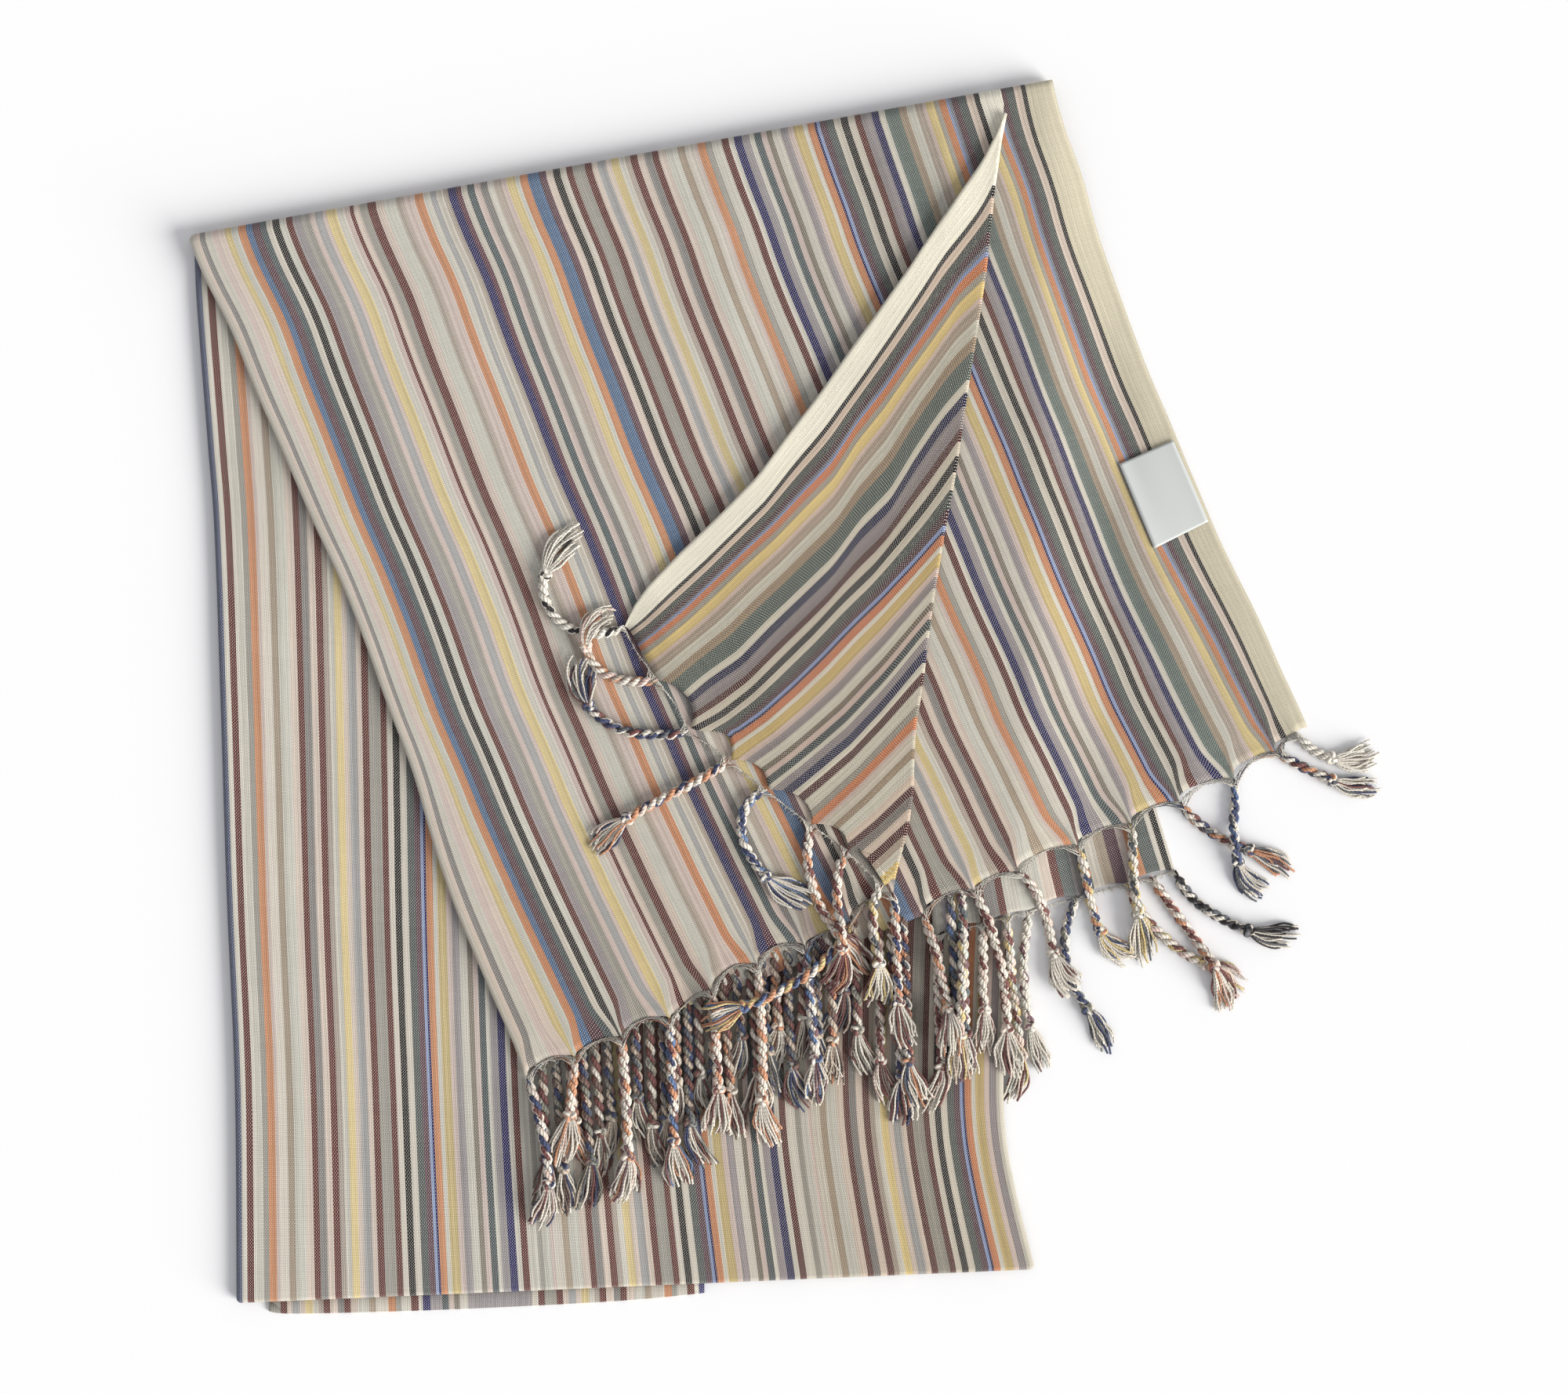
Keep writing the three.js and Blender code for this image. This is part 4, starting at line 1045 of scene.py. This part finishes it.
SECOND_CORDS = [
    (8 / 16, (20, 12, 4), 92, "maroon cream blush", "cream orange cream"),
    (9 / 16, (30, 8, -6), 120, "maroon cream cream", "blush cream maroon"),
    (10 / 16, (58, 12, 40), 87, "cream maroon cream", "cream cream blush"),
    (11 / 16, (22, 16, 74), 86, "orange yellow cream", "navy cream cream"),
    (12 / 16, (4, 6, 40), 86, "yellow cream slate", "cream moss cream"),
    (13 / 16, (36, 66, 80), 84, "navy orange cream", "slate cream maroon"),
    (14 / 16, (0, 6, 60), 82, "navy blue cream", "slate cream navy"),
    (15 / 16, (60, 66, 68), 70, "orange cream navy", "slate cream maroon"),
    (16 / 16, (30, 76, 88), 58, "selvedge selvedge cream", "cream selvedge cream"),
]
THIRD_CORDS = [
    (0.02, (-5, 3, -5), 112, "maroon cream blush", "cream maroon cream"),
    (0.11, (5, -3, 8), 96, "cream yellow pale", "plum cream beige"),
    (0.3, (3, 7, 0), 118, "pale cream yellow", "cream blush maroon"),
    (1 / 5, (2, 2, 20), 84, "cream blush cream", "maroon cream cream"),
    (2 / 5, (-14, 6, 26), 104, "cream pale cream", "plum cream cream"),
    (3 / 5, (-34, 20, 54), 106, "navy slate cream", "moss cream navy"),
    (4 / 5, (22, 54, 86), 102, "yellow maroon cream", "cream pink cream"),
    (4.5 / 5, (34, 36, 30), 98, "maroon orange cream", "blush cream maroon"),
    (5 / 5, (20, 64, 64), 91, "black cream slate", "slate black cream"),
]
CORNER_CORDS = [
    (0 / 7, (-64, -150, -276), 106, "selvedge cream selvedge", "cream black selvedge"),
    (1 / 7, (-85, -140, -290), 86, "beige orange cream", "cream pink cream"),
    (2 / 7, (-82, -118, -212), 98, "navy maroon cream", "cream navy slate"),
    (3 / 7, (-54, -62, -40), 103, "orange cream orange", "cream navy blush"),
    (4 / 7, (-80, 30, 32), 97, "navy cream blue", "cream navy cream"),
    (5 / 7, (-14, 26, 66), 102, "orange cream blush", "cream maroon cream"),
    (6 / 7, (-34, 8, -36), 93, "maroon cream maroon", "cream orange cream"),
    (7 / 7, (-30, 10, -10), 80, "maroon cream slate", "cream cream yellow"),
]
LOWER_COUNT = 25
LOWER_REACH = (0.03, 0.91)
LOWER_YARNS = [
    ("maroon bark maroon", "cream moss beige"), ("navy slate beige", "beige moss bark"),
    ("orange bark maroon", "beige cream beige"), ("bark maroon beige", "slate moss navy"),
]
LOWER_CORDS = [
    (LOWER_REACH[0] + (LOWER_REACH[1] - LOWER_REACH[0]) * (k + 0.5) / LOWER_COUNT,
     (3 + 3 * math.sin(0.9 * k), 3 + 2 * math.sin(0.5 * k), 3 + 4 * math.sin(0.7 * k + 1)),
     92 + 16 * math.sin(2.4 * k), *LOWER_YARNS[k % len(LOWER_YARNS)])
    for k in range(LOWER_COUNT)
]
LOWER_CORDS += [
    (0.94, (4, 0, 3), 118, "maroon cream blush", "cream maroon bark"),
    (0.97, (2, 5, -2), 132, "cream maroon cream", "navy bark cream"),
    (1.00, (6, 2, 5), 124, "navy slate cream", "orange bark maroon"),
    (1.13, (3, 3, -3), 112, "blue slate navy", "cream moss blush"),
    (1.16, (4, 1, 6), 124, "maroon plum cream", "teal cream slate"),
]
KNOT_LENGTH, TUFT_LENGTH = 7.0, 27.0
TUFT_YARN = 0.66
# How much deeper a yarn is than it looks, and the sides of the tubes of plies, loose yarns and threads
YARN_SHADE = 0.92
PLY_SIDES, YARN_SIDES, THREAD_SIDES = 6, 4, 3
FRAYED = ("selvedge", "selvedge", "cream", "blush")
# Cords and threads are rooted this far below the cloth's top; the corner's cords by their place on the chart
ROOT_DEPTH = 0.5
CORNER_CORD_PLACES = (1046, 915, 834, 776, 715, 652, 590, 540)


def cad_surface(*nodes):
    """Finds the height of CAD solids under a plan place."""
    trees = []
    for node in nodes:
        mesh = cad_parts[node].data
        faces = [polygon.vertices for polygon in mesh.polygons]
        trees.append(BVHTree.FromPolygons([vertex.co for vertex in mesh.vertices], faces))

    def height(x, y):
        start = to_scene(x, y, 60)
        hits = [tree.ray_cast(start, Vector((0, 0, -1)))[0] for tree in trees]
        return max([0.0] + [hit.z / MM for hit in hits if hit is not None])
    return height


def route(start, headings, length):
    """Plan points of a cord, a step apart."""
    first, middle, last = headings
    points, count = [start], round(length / STEP)
    for k in range(count):
        t = (k + 0.5) / count
        turn = math.radians(
            first * (1 - t) * (1 - 2 * t) + middle * 4 * t * (1 - t) + last * t * (2 * t - 1))
        x, y = points[-1]
        points.append((x + STEP * math.sin(turn), y - STEP * math.cos(turn)))
    return points


laid = []


def rest_heights(points, surface, half):
    """Centre heights of a cord that lies on the cloth and on the cords laid before it."""
    spots = np.array(laid) if laid else np.zeros((0, 3))
    heights = []
    for x, y in points:
        low_end = max(surface(x + dx, y + dy) for dx, dy in AROUND)
        if len(spots):
            gaps = np.hypot(spots[:, 0] - x, spots[:, 1] - y)
            near = gaps < 2 * half
            if near.any():
                lift = spots[near, 2] + np.sqrt(np.maximum(0, (2 * half) ** 2 - gaps[near] ** 2)) * 0.8
                low_end = max(low_end, float(lift.max()) - half)
        heights.append(low_end + half)
    smooth = np.array(heights)
    for _ in range(3):
        padded = np.concatenate([[smooth[0]], smooth, [smooth[-1]]])
        smooth = np.maximum(smooth, (padded[:-2] + padded[2:]) / 2 - 0.4)
    padded = np.concatenate([[smooth[0]] * 2, smooth, [smooth[-1]] * 2])
    return np.convolve(padded, np.ones(5) / 5, "valid")


def ring_rows(points, radii, sides):
    """Rings of a tube swept along points, one more column than its sides to close it, and its lengths."""
    line = np.array(points, float)
    ahead = np.gradient(line, axis=0)
    ahead /= np.maximum(np.linalg.norm(ahead, axis=1, keepdims=True), 1e-6)
    side = np.cross(ahead, (0.0, 0.0, 1.0))
    size = np.linalg.norm(side, axis=1, keepdims=True)
    side = np.where(size > 0.05, side / np.maximum(size, 1e-6), (1.0, 0.0, 0.0))
    up = np.cross(side, ahead)
    radii = np.broadcast_to(np.array(radii, float), (len(line),))
    turn = 2 * np.pi * np.arange(sides + 1) / sides
    around = side[:, None] * np.cos(turn)[None, :, None] + up[:, None] * np.sin(turn)[None, :, None]
    gone = np.concatenate([[0.0], np.cumsum(np.linalg.norm(np.diff(line, axis=0), axis=1))])
    return line[:, None] + around * radii[:, None, None], gone * MM


def sweep_tubes(bm, layers, tubes, sides):
    """Yarns swept from one long grid that is cut between them.

    Each is (points, radii, dyes of its sides), and the dyes wind round it by a side every few rings."""
    colour, place = layers
    rows, lengths, dyes, last = [], [], [], set()
    for points, radii, tube_dyes in tubes:
        rings, gone = ring_rows(points, radii, sides)
        rows.extend(rings)
        lengths.extend(gone)
        for ring in range(len(rings)):
            turned = ring // DYE_RINGS % len(tube_dyes)
            dyes.append(tube_dyes[turned:] + tube_dyes[:turned])
        last.add(len(rows) - 1)
    made = bmesh.ops.create_grid(bm, x_segments=sides, y_segments=len(rows) - 1, size=0.5)["verts"]
    spots = {}
    for vertex in made:
        i = round((vertex.co.x + 0.5) * sides)
        j = round((0.5 - vertex.co.y) * (len(rows) - 1))
        spots[vertex] = (i, j)
        vertex.co = to_scene(*rows[j][i])
    between = []
    for face in {face for vertex in made for face in vertex.link_faces}:
        cells = [spots[loop.vert] for loop in face.loops]
        first = min(j for _, j in cells)
        if first in last:
            between.append(face)
            continue
        dye = (*dyes[first][min(i for i, _ in cells) % len(dyes[first])], 1.0)
        for loop, (i, j) in zip(face.loops, cells):
            loop[colour] = dye
            loop[place].uv = (i / sides, lengths[j])
    bmesh.ops.delete(bm, geom=between, context="FACES")


def close_tubes(bm, layers):
    """Joins each tube's seam and fills its two ends."""
    colour, place = layers
    bmesh.ops.remove_doubles(bm, verts=bm.verts[:], dist=1e-7)
    ends = [edge for edge in bm.edges if edge.is_boundary]
    for face in bmesh.ops.holes_fill(bm, edges=ends, sides=8)["faces"]:
        for loop in face.loops:
            beside = next(other for other in loop.vert.link_loops if other.face is not face)
            loop[colour] = beside[colour]
            loop[place].uv = beside[place].uv


def cord(tubes, points, heights, plies, rng):
    """Two plies twisted round a route, a knot and a tuft of loose yarns."""
    line = [Vector((x, y, z)) for (x, y), z in zip(points, heights)]
    length = STEP * (len(line) - 1)
    neck = length - TUFT_LENGTH - KNOT_LENGTH / 2

    def at(distance):
        place = min(max(distance / STEP, 0), len(line) - 1.001)
        k = int(place)
        return line[k].lerp(line[k + 1], place - k)

    def frame_at(distance):
        ahead = (at(distance + 1.5) - at(distance - 1.5)).normalized()
        side = ahead.cross(Vector((0, 0, 1))).normalized()
        return ahead, side, side.cross(ahead)

    phase, pitch, beat = rng.uniform(*ANY_TURN), TWIST * rng.uniform(0.9, 1.12), rng.uniform(*ANY_TURN)
    for number, yarns in enumerate(plies):
        dyes = [yarn_dye(name) for name in yarns.split() for _ in range(2)]
        path, radii = [], []
        steps = int(neck / 1.3)
        for k in range(steps + 1):
            distance = neck * k / steps
            _, side, up = frame_at(distance)
            turn = phase + math.pi * number + 2 * math.pi * distance / pitch
            turn += 0.25 * math.sin(beat + distance / 9)
            grow = 0.5 + 0.5 * smoothstep(distance, 0, 9)
            plump = 1.0 + 0.09 * math.sin(beat + 2.1 * number + distance / 3.7)
            reach = PLY * 0.96 * grow
            radii.append(PLY * grow * plump)
            point = at(distance) + side * (reach * math.cos(turn)) + up * (reach * 0.9 * math.sin(turn))
            point.z = max(point.z, radii[-1] + LOWEST)
            path.append(point)
        tubes[PLY_SIDES].append((path, radii, dyes))
    knot_place, (ahead, side, up) = at(neck), frame_at(neck)
    names = [name for yarns in plies for name in yarns.split()]
    spin = rng.uniform(*ANY_TURN)
    # The knot is a trefoil
    loop_points = []
    for k in range(31):
        t = 2 * math.pi * k / 30
        a = math.sin(t) + 2 * math.sin(2 * t)
        b = math.cos(t) - 2 * math.cos(2 * t)
        c = -math.sin(3 * t)
        u, v = a * math.cos(spin) - b * math.sin(spin), a * math.sin(spin) + b * math.cos(spin)
        loop_points.append(knot_place + ahead * (u * 0.8) + side * (v * 0.95) + up * (c * 1.3 + 0.5))
    tubes[PLY_SIDES].append((loop_points, 2.0, [yarn_dye(name) for name in names]))
    tuft(tubes, at, frame_at, neck + 1.5, names + ["cream"] * 2, rng)
    laid.extend((p.x, p.y, p.z) for p in line)


def tuft(tubes, at, frame_at, start, yarn_names, rng):
    """The loose ends below a knot: blunt wavy yarns in two layers, like a worn brush."""
    count = rng.randint(20, 26)
    lean, breadth = rng.uniform(-0.34, 0.34), rng.uniform(4.0, 8.0)
    for k in range(count):
        spread = 2 * (k + rng.uniform(0.2, 0.8)) / count - 1
        over = k % 3
        size = TUFT_LENGTH * rng.uniform(0.66, 1.1) * (1 - 0.12 * spread * spread)
        wave, beat = rng.uniform(0.4, 1.5), rng.uniform(*ANY_TURN)
        path = []
        for step in range(9):
            t = step / 8
            distance = start + size * t
            spot, (_, side, up) = at(distance), frame_at(distance)
            fanned = spread * (2.1 + breadth * math.sin(1.8 * t)) + lean * size * t * t
            sway = wave * math.sin(beat + 8 * t) * t
            lift = 1.1 * over * (1 - 0.4 * t) - 2.0 * t + 0.8 * math.sin(beat + 5 * t) * t
            point = spot + side * (fanned + sway) + up * lift
            point.z = max(point.z, TUFT_YARN + 0.2)
            path.append(point)
        radius = TUFT_YARN * rng.uniform(0.85, 1.15)
        tubes[YARN_SIDES].append((path, radius, [yarn_dye(rng.choice(yarn_names))]))


def yarn_dye(name):
    return [c * YARN_SHADE for c in linear(YARN_COLOURS.get(name, YARNS[name]))]


# Yarns of the fringe on their own, without the pale weft
YARN_COLOURS = {
    "cream": (224, 216, 202), "selvedge": (232, 227, 214), "orange": (200, 146, 114),
    "maroon": (122, 82, 78), "navy": (72, 78, 106), "blue": (104, 124, 158), "yellow": (214, 192, 138),
    "black": (58, 54, 54), "slate": (98, 100, 104), "plum": (124, 96, 100), "blush": (222, 200, 186),
    "pink": (212, 186, 176), "beige": (192, 176, 158), "moss": (140, 138, 126), "bark": (116, 98, 90),
    "pale": (208, 208, 196), "teal": (104, 118, 118),
}


def frayed_threads(tubes, roots, span, rng):
    """The hem's own threads: a thin pale pair along its edge, and short loose ends."""
    steps = round(220 * (span[1] - span[0]))
    edge = [roots(span[0] + (span[1] - span[0]) * k / steps, edge=True) for k in range(steps + 1)]
    for lift in (0.1, 0.5):
        wavy = [(x, y + rng.uniform(-0.3, 0.3), z + lift) for x, y, z in edge]
        tubes[THREAD_SIDES].append((wavy, 0.24, [yarn_dye("selvedge")]))
    for k in range(2, steps - 1):
        if rng.random() < 0.7:
            x, y, z = edge[k]
            (x0, y0, _), (x1, y1, _) = edge[k - 1], edge[k + 1]
            along = Vector((x1 - x0, y1 - y0, 0)).normalized()
            out = Vector((along.y, -along.x, 0)) if span[0] < span[1] else Vector((-along.y, along.x, 0))
            size, slant = rng.uniform(1.2, 4.2), rng.uniform(-0.9, 0.9)
            root = Vector((x, y, z + 0.2)) - out * 0.8
            tip = root + (out + along * slant) * size
            bend = root.lerp(tip, 0.55) + along * rng.uniform(-0.5, 0.5) + Vector((0, 0, 0.5))
            tubes[THREAD_SIDES].append(
                ([root, bend, tip], [0.24, 0.2, 0.12], [yarn_dye(rng.choice(FRAYED))]))


def fringe(name, node, roots, cords, surface, seed, span=(0.0, 1.0)):
    """The cords of a hem, grown from its edge, with the threads that gather into each."""
    rng = random.Random(seed)
    tubes = {PLY_SIDES: [], YARN_SIDES: [], THREAD_SIDES: []}
    for share, headings, length, first, second in cords:
        x, y, z = roots(share)
        points = route((x, y), headings, length)
        heights = rest_heights(points, surface, 2 * PLY)
        for k in range(5):
            mix = smoothstep(k, -1, 5)
            heights[k] = z * (1 - mix) + heights[k] * mix
        cord(tubes, points, heights, (first, second), rng)
        names = (first + " " + second).split() + ["selvedge"] * 9
        for side in range(-9, 10):
            x0, y0, z0 = roots(share + side * 0.007, edge=True)
            if 0 < math.dist((x0, y0), (x, y)) < 22:
                tip = points[2] if side % 2 else points[3]
                tip = (tip[0] + rng.uniform(-1, 1), tip[1], float(heights[3]) + rng.uniform(0, 1.6))
                middle = (0.45 * x0 + 0.55 * x + rng.uniform(-0.4, 0.4), 0.45 * y0 + 0.55 * y,
                          0.5 * (z0 + z) + rng.uniform(0.5, 1.4))
                tubes[THREAD_SIDES].append(
                    ([(x0, y0, z0), middle, tip], [0.26, 0.38, 0.45], [yarn_dye(rng.choice(names))]))
    if span:
        frayed_threads(tubes, roots, span, rng)
    bm = bmesh.new()
    layers = (bm.loops.layers.float_color.new("yarn_dye"), bm.loops.layers.uv.new("yarn"))
    for sides, chosen in tubes.items():
        sweep_tubes(bm, layers, chosen, sides)
    close_tubes(bm, layers)
    return add_piece(name, bm, CORD_FINISH, node)


def front_root(share, edge=False):
    across = min(max(share, 0.0), 1.0) * FRONT_HEM_END
    down = along_table(FLAP_HEM, across)
    if edge:
        down -= scallop(across, FRONT_ROOTS, FRONT_SCALLOP)
    x, y = flap_point(across, down)
    return x, y, front_height(x, y) - ROOT_DEPTH


def second_root(share, edge=False):
    place = (share - 0.5) * 16
    k = min(max(int(place), 0), len(SECOND_ROOTS) - 2)
    moved = SECOND_ROOTS[k] + (SECOND_ROOTS[k + 1] - SECOND_ROOTS[k]) * (place - k)
    moved = min(max(moved, SECOND_ROOTS[0]), SECOND_ROOTS[-1])
    down = along_table(SECOND_HEM, moved)
    if edge:
        down -= scallop(moved, SECOND_ROOTS, SECOND_SCALLOP)
    x, y = flap_point(moved, down)
    return x, y, second_height(x, y) - ROOT_DEPTH


def corner_root(share, edge=False):
    places = CORNER_CORD_PLACES
    place = min(max(share, 0.0), 1.0) * (len(places) - 1)
    k = min(int(place), len(places) - 2)
    across = places[k] + (places[k + 1] - places[k]) * (place - k)
    x, y = corner_point(across, 0.0)
    return x, y, corner_height(x, y) - ROOT_DEPTH


third_patch = Patch(THIRD_ROWS)


def third_root(share, edge=False):
    x, y = third_patch.at(min(max(share, 0.0), 1.0), 1.0)
    return x, y, third_height(x, y) - ROOT_DEPTH


def lower_root(share, edge=False):
    hem = FLAP_HEM if share <= LOWER_REACH[1] else SECOND_HEM
    x, y = flap_point(share * FRONT_HEM_END, along_table(hem, share * FRONT_HEM_END) - 14)
    return x, y, THIRD_TOP - 0.8


pieces = {
    "front_flap": make_front_flap(),
    "second_flap": make_second_flap(),
    "turned_corner": make_turned_corner(),
    "back_panel": make_back_panel(),
    "third_flap": make_third_flap(),
    "label": make_label(),
}
on_panel = cad_surface("back_panel")
on_third = cad_surface("back_panel", "third_flap")
on_second = cad_surface("back_panel", "third_flap", "second_flap")
on_front = cad_surface("back_panel", "third_flap", "second_flap", "front_flap")
fringe("lower_fringe", "fringe_lower", lower_root, LOWER_CORDS, on_panel, 11, None)
fringe("third_fringe", "fringe_third", third_root, THIRD_CORDS, on_panel, 12)
fringe("second_fringe", "fringe_second", second_root, SECOND_CORDS, on_third, 13)
fringe("front_fringe", "fringe_front", front_root, FRONT_CORDS, on_second, 14)
fringe("corner_fringe", "fringe_corner", corner_root, CORNER_CORDS, on_front, 15)


# ---- The layers inside and the lower fold ------------------------------------------------------------
# A colour ramp holds a few dozen stops, so the narrowest stripes are left out; the warp's lean in degrees
RAMP_STOPS, NARROWEST_BAND = 31, 6.7
WARP_LEAN = -2.3


def make_folded_finish():
    """Hidden cloth: the same stripes, as bands along the object's own length."""
    material, shader = new_material("folded striped cotton", 0.92, 0.08)
    tree = material.node_tree
    place = tree.nodes.new("ShaderNodeTexCoord")
    mapping = tree.nodes.new("ShaderNodeMapping")
    mapping.inputs["Rotation"].default_value = (0, 0, math.radians(WARP_LEAN))
    tree.links.new(place.outputs["Object"], mapping.inputs["Vector"])
    split = tree.nodes.new("ShaderNodeSeparateXYZ")
    tree.links.new(mapping.outputs[0], split.inputs[0])
    period = REPEAT_WIDTH * BACK_SCALE * UNIT * MM
    share = maths(tree, "FLOORED_MODULO", maths(tree, "MULTIPLY", split.outputs[0], 1 / period), 1.0)
    ramp = tree.nodes.new("ShaderNodeValToRGB")
    ramp.color_ramp.interpolation = "CONSTANT"
    chosen = [(left, yarn) for left, right, yarn in MIDDLE_REPEAT if right - left > NARROWEST_BAND]
    chosen = chosen[:RAMP_STOPS]
    elements = ramp.color_ramp.elements
    elements[0].position, elements[0].color = 0.0, (*dyed(chosen[0][1]), 1)
    elements[1].position, elements[1].color = 0.999, (*dyed("black"), 1)
    for left, yarn in chosen[1:RAMP_STOPS - 1]:
        element = elements.new((left - chosen[0][0]) / REPEAT_WIDTH)
        element.color = (*dyed(yarn), 1)
    tree.links.new(share, ramp.inputs["Fac"])
    weave = tree.nodes.new("ShaderNodeGroup")
    weave.node_tree = WEAVE
    tree.links.new(ramp.outputs["Color"], weave.inputs["Warp"])
    tree.links.new(place.outputs["Object"], weave.inputs["Map"])
    finish_surface(material, shader, weave, *WOVEN_BUMP)
    return material


FOLDED_FINISH = make_folded_finish()


def make_hidden_layers():
    bm = bmesh.new()
    stacked_ring(bm, ring_outline(Patch(BACK_ROWS), 30, 8),
                 layer_profile(0.0, [(1.25, 0.7), (1.0, 0.9), (1.45, 4.0), (1.45, 4.4)], 0.4))
    stacked_ring(bm, ring_outline(Patch(UPPER_ROWS), 26, 0),
                 layer_profile(UPPER_BOTTOM, [(1.0, 0.0), (1.0, 0.2)], 0.0))
    bend = [((-355, 281), (138, 363)), ((-355, 278), (138, 360))]
    stacked_ring(bm, ring_outline(Patch(bend), 8, 0), [(4.0, 0.0), (UPPER_TOP - 0.6, 0.0)])
    bmesh.ops.recalc_face_normals(bm, faces=bm.faces[:])
    return add_piece("hidden_layers_cloth", bm, FOLDED_FINISH, "hidden_layers")


def make_lower_fold():
    inner = [Patch(BACK_ROWS).at((x + 343) / 500, 1) for x, _ in LOWER_EDGE]
    fine = 24
    front = [spline(LOWER_EDGE, k / fine) for k in range(fine + 1)]
    behind = [spline([(x, y + 0.4) for x, y in inner], k / fine) for k in range(fine + 1)]

    def outline(inset):
        return [(x, y - 0.3 * inset) for x, y in reversed(behind)] + [(x, y + inset) for x, y in front]

    bm = bmesh.new()
    stacked_ring(bm, outline, layer_profile(0.0, [(1.1, 0.0), (1.0, 0.2)], 0.0))
    bmesh.ops.recalc_face_normals(bm, faces=bm.faces[:])
    return add_piece("lower_fold_cloth", bm, FOLDED_FINISH, "lower_fold_edge")


pieces["hidden_layers"] = make_hidden_layers()
pieces["lower_fold_edge"] = make_lower_fold()


# ---- Floor, light and camera -------------------------------------------------------------------------
FLOOR_COLOUR = (0.82, 0.82, 0.82)
# The low window light: degrees round and up, its softness, strength and colour
WINDOW = (-28, 23, 38, 5.15, (1.0, 0.985, 0.96))
ROOM_COLOUR, ROOM_STRENGTH = (0.95, 0.955, 1.0), 0.6


def make_floor():
    bm = bmesh.new()
    bmesh.ops.create_grid(bm, x_segments=1, y_segments=1, size=6)
    mesh = bpy.data.meshes.new("floor")
    bm.to_mesh(mesh)
    bm.free()
    floor = bpy.data.objects.new("floor", mesh)
    bpy.context.scene.collection.objects.link(floor)
    material, shader = new_material("plain pale floor", 0.85)
    shader.inputs["Base Color"].default_value = (*FLOOR_COLOUR, 1)
    mesh.materials.append(material)


def add_sun(azimuth, elevation, softness, strength, colour):
    """A wide soft light from one side: degrees round from the right, and up from the floor."""
    data = bpy.data.lights.new("soft window light", "SUN")
    data.energy = strength
    data.angle = math.radians(softness)
    data.color = colour
    light = bpy.data.objects.new("soft window light", data)
    a, e = math.radians(azimuth), math.radians(elevation)
    towards = Vector((math.cos(a) * math.cos(e), math.sin(a) * math.cos(e), math.sin(e)))
    light.rotation_euler = towards.to_track_quat("Z", "Y").to_euler()
    light.location = towards * 3
    bpy.context.scene.collection.objects.link(light)


def make_camera():
    data = bpy.data.cameras.new("camera")
    data.lens = LENS
    data.sensor_width = SENSOR
    camera = bpy.data.objects.new("camera", data)
    distance = VIEW_WIDTH * MM * LENS / SENSOR
    camera.location = (SHIFT[0] * MM, SHIFT[1] * MM, distance + 0.01)
    bpy.context.scene.collection.objects.link(camera)
    bpy.context.scene.camera = camera


make_floor()
make_camera()
add_sun(*WINDOW)
world = bpy.data.worlds.new("studio")
bpy.context.scene.world = world
world.use_nodes = True
room = world.node_tree.nodes["Background"]
room.inputs[0].default_value = (*ROOM_COLOUR, 1)
room.inputs[1].default_value = ROOM_STRENGTH
bpy.context.scene.view_settings.view_transform = "Standard"
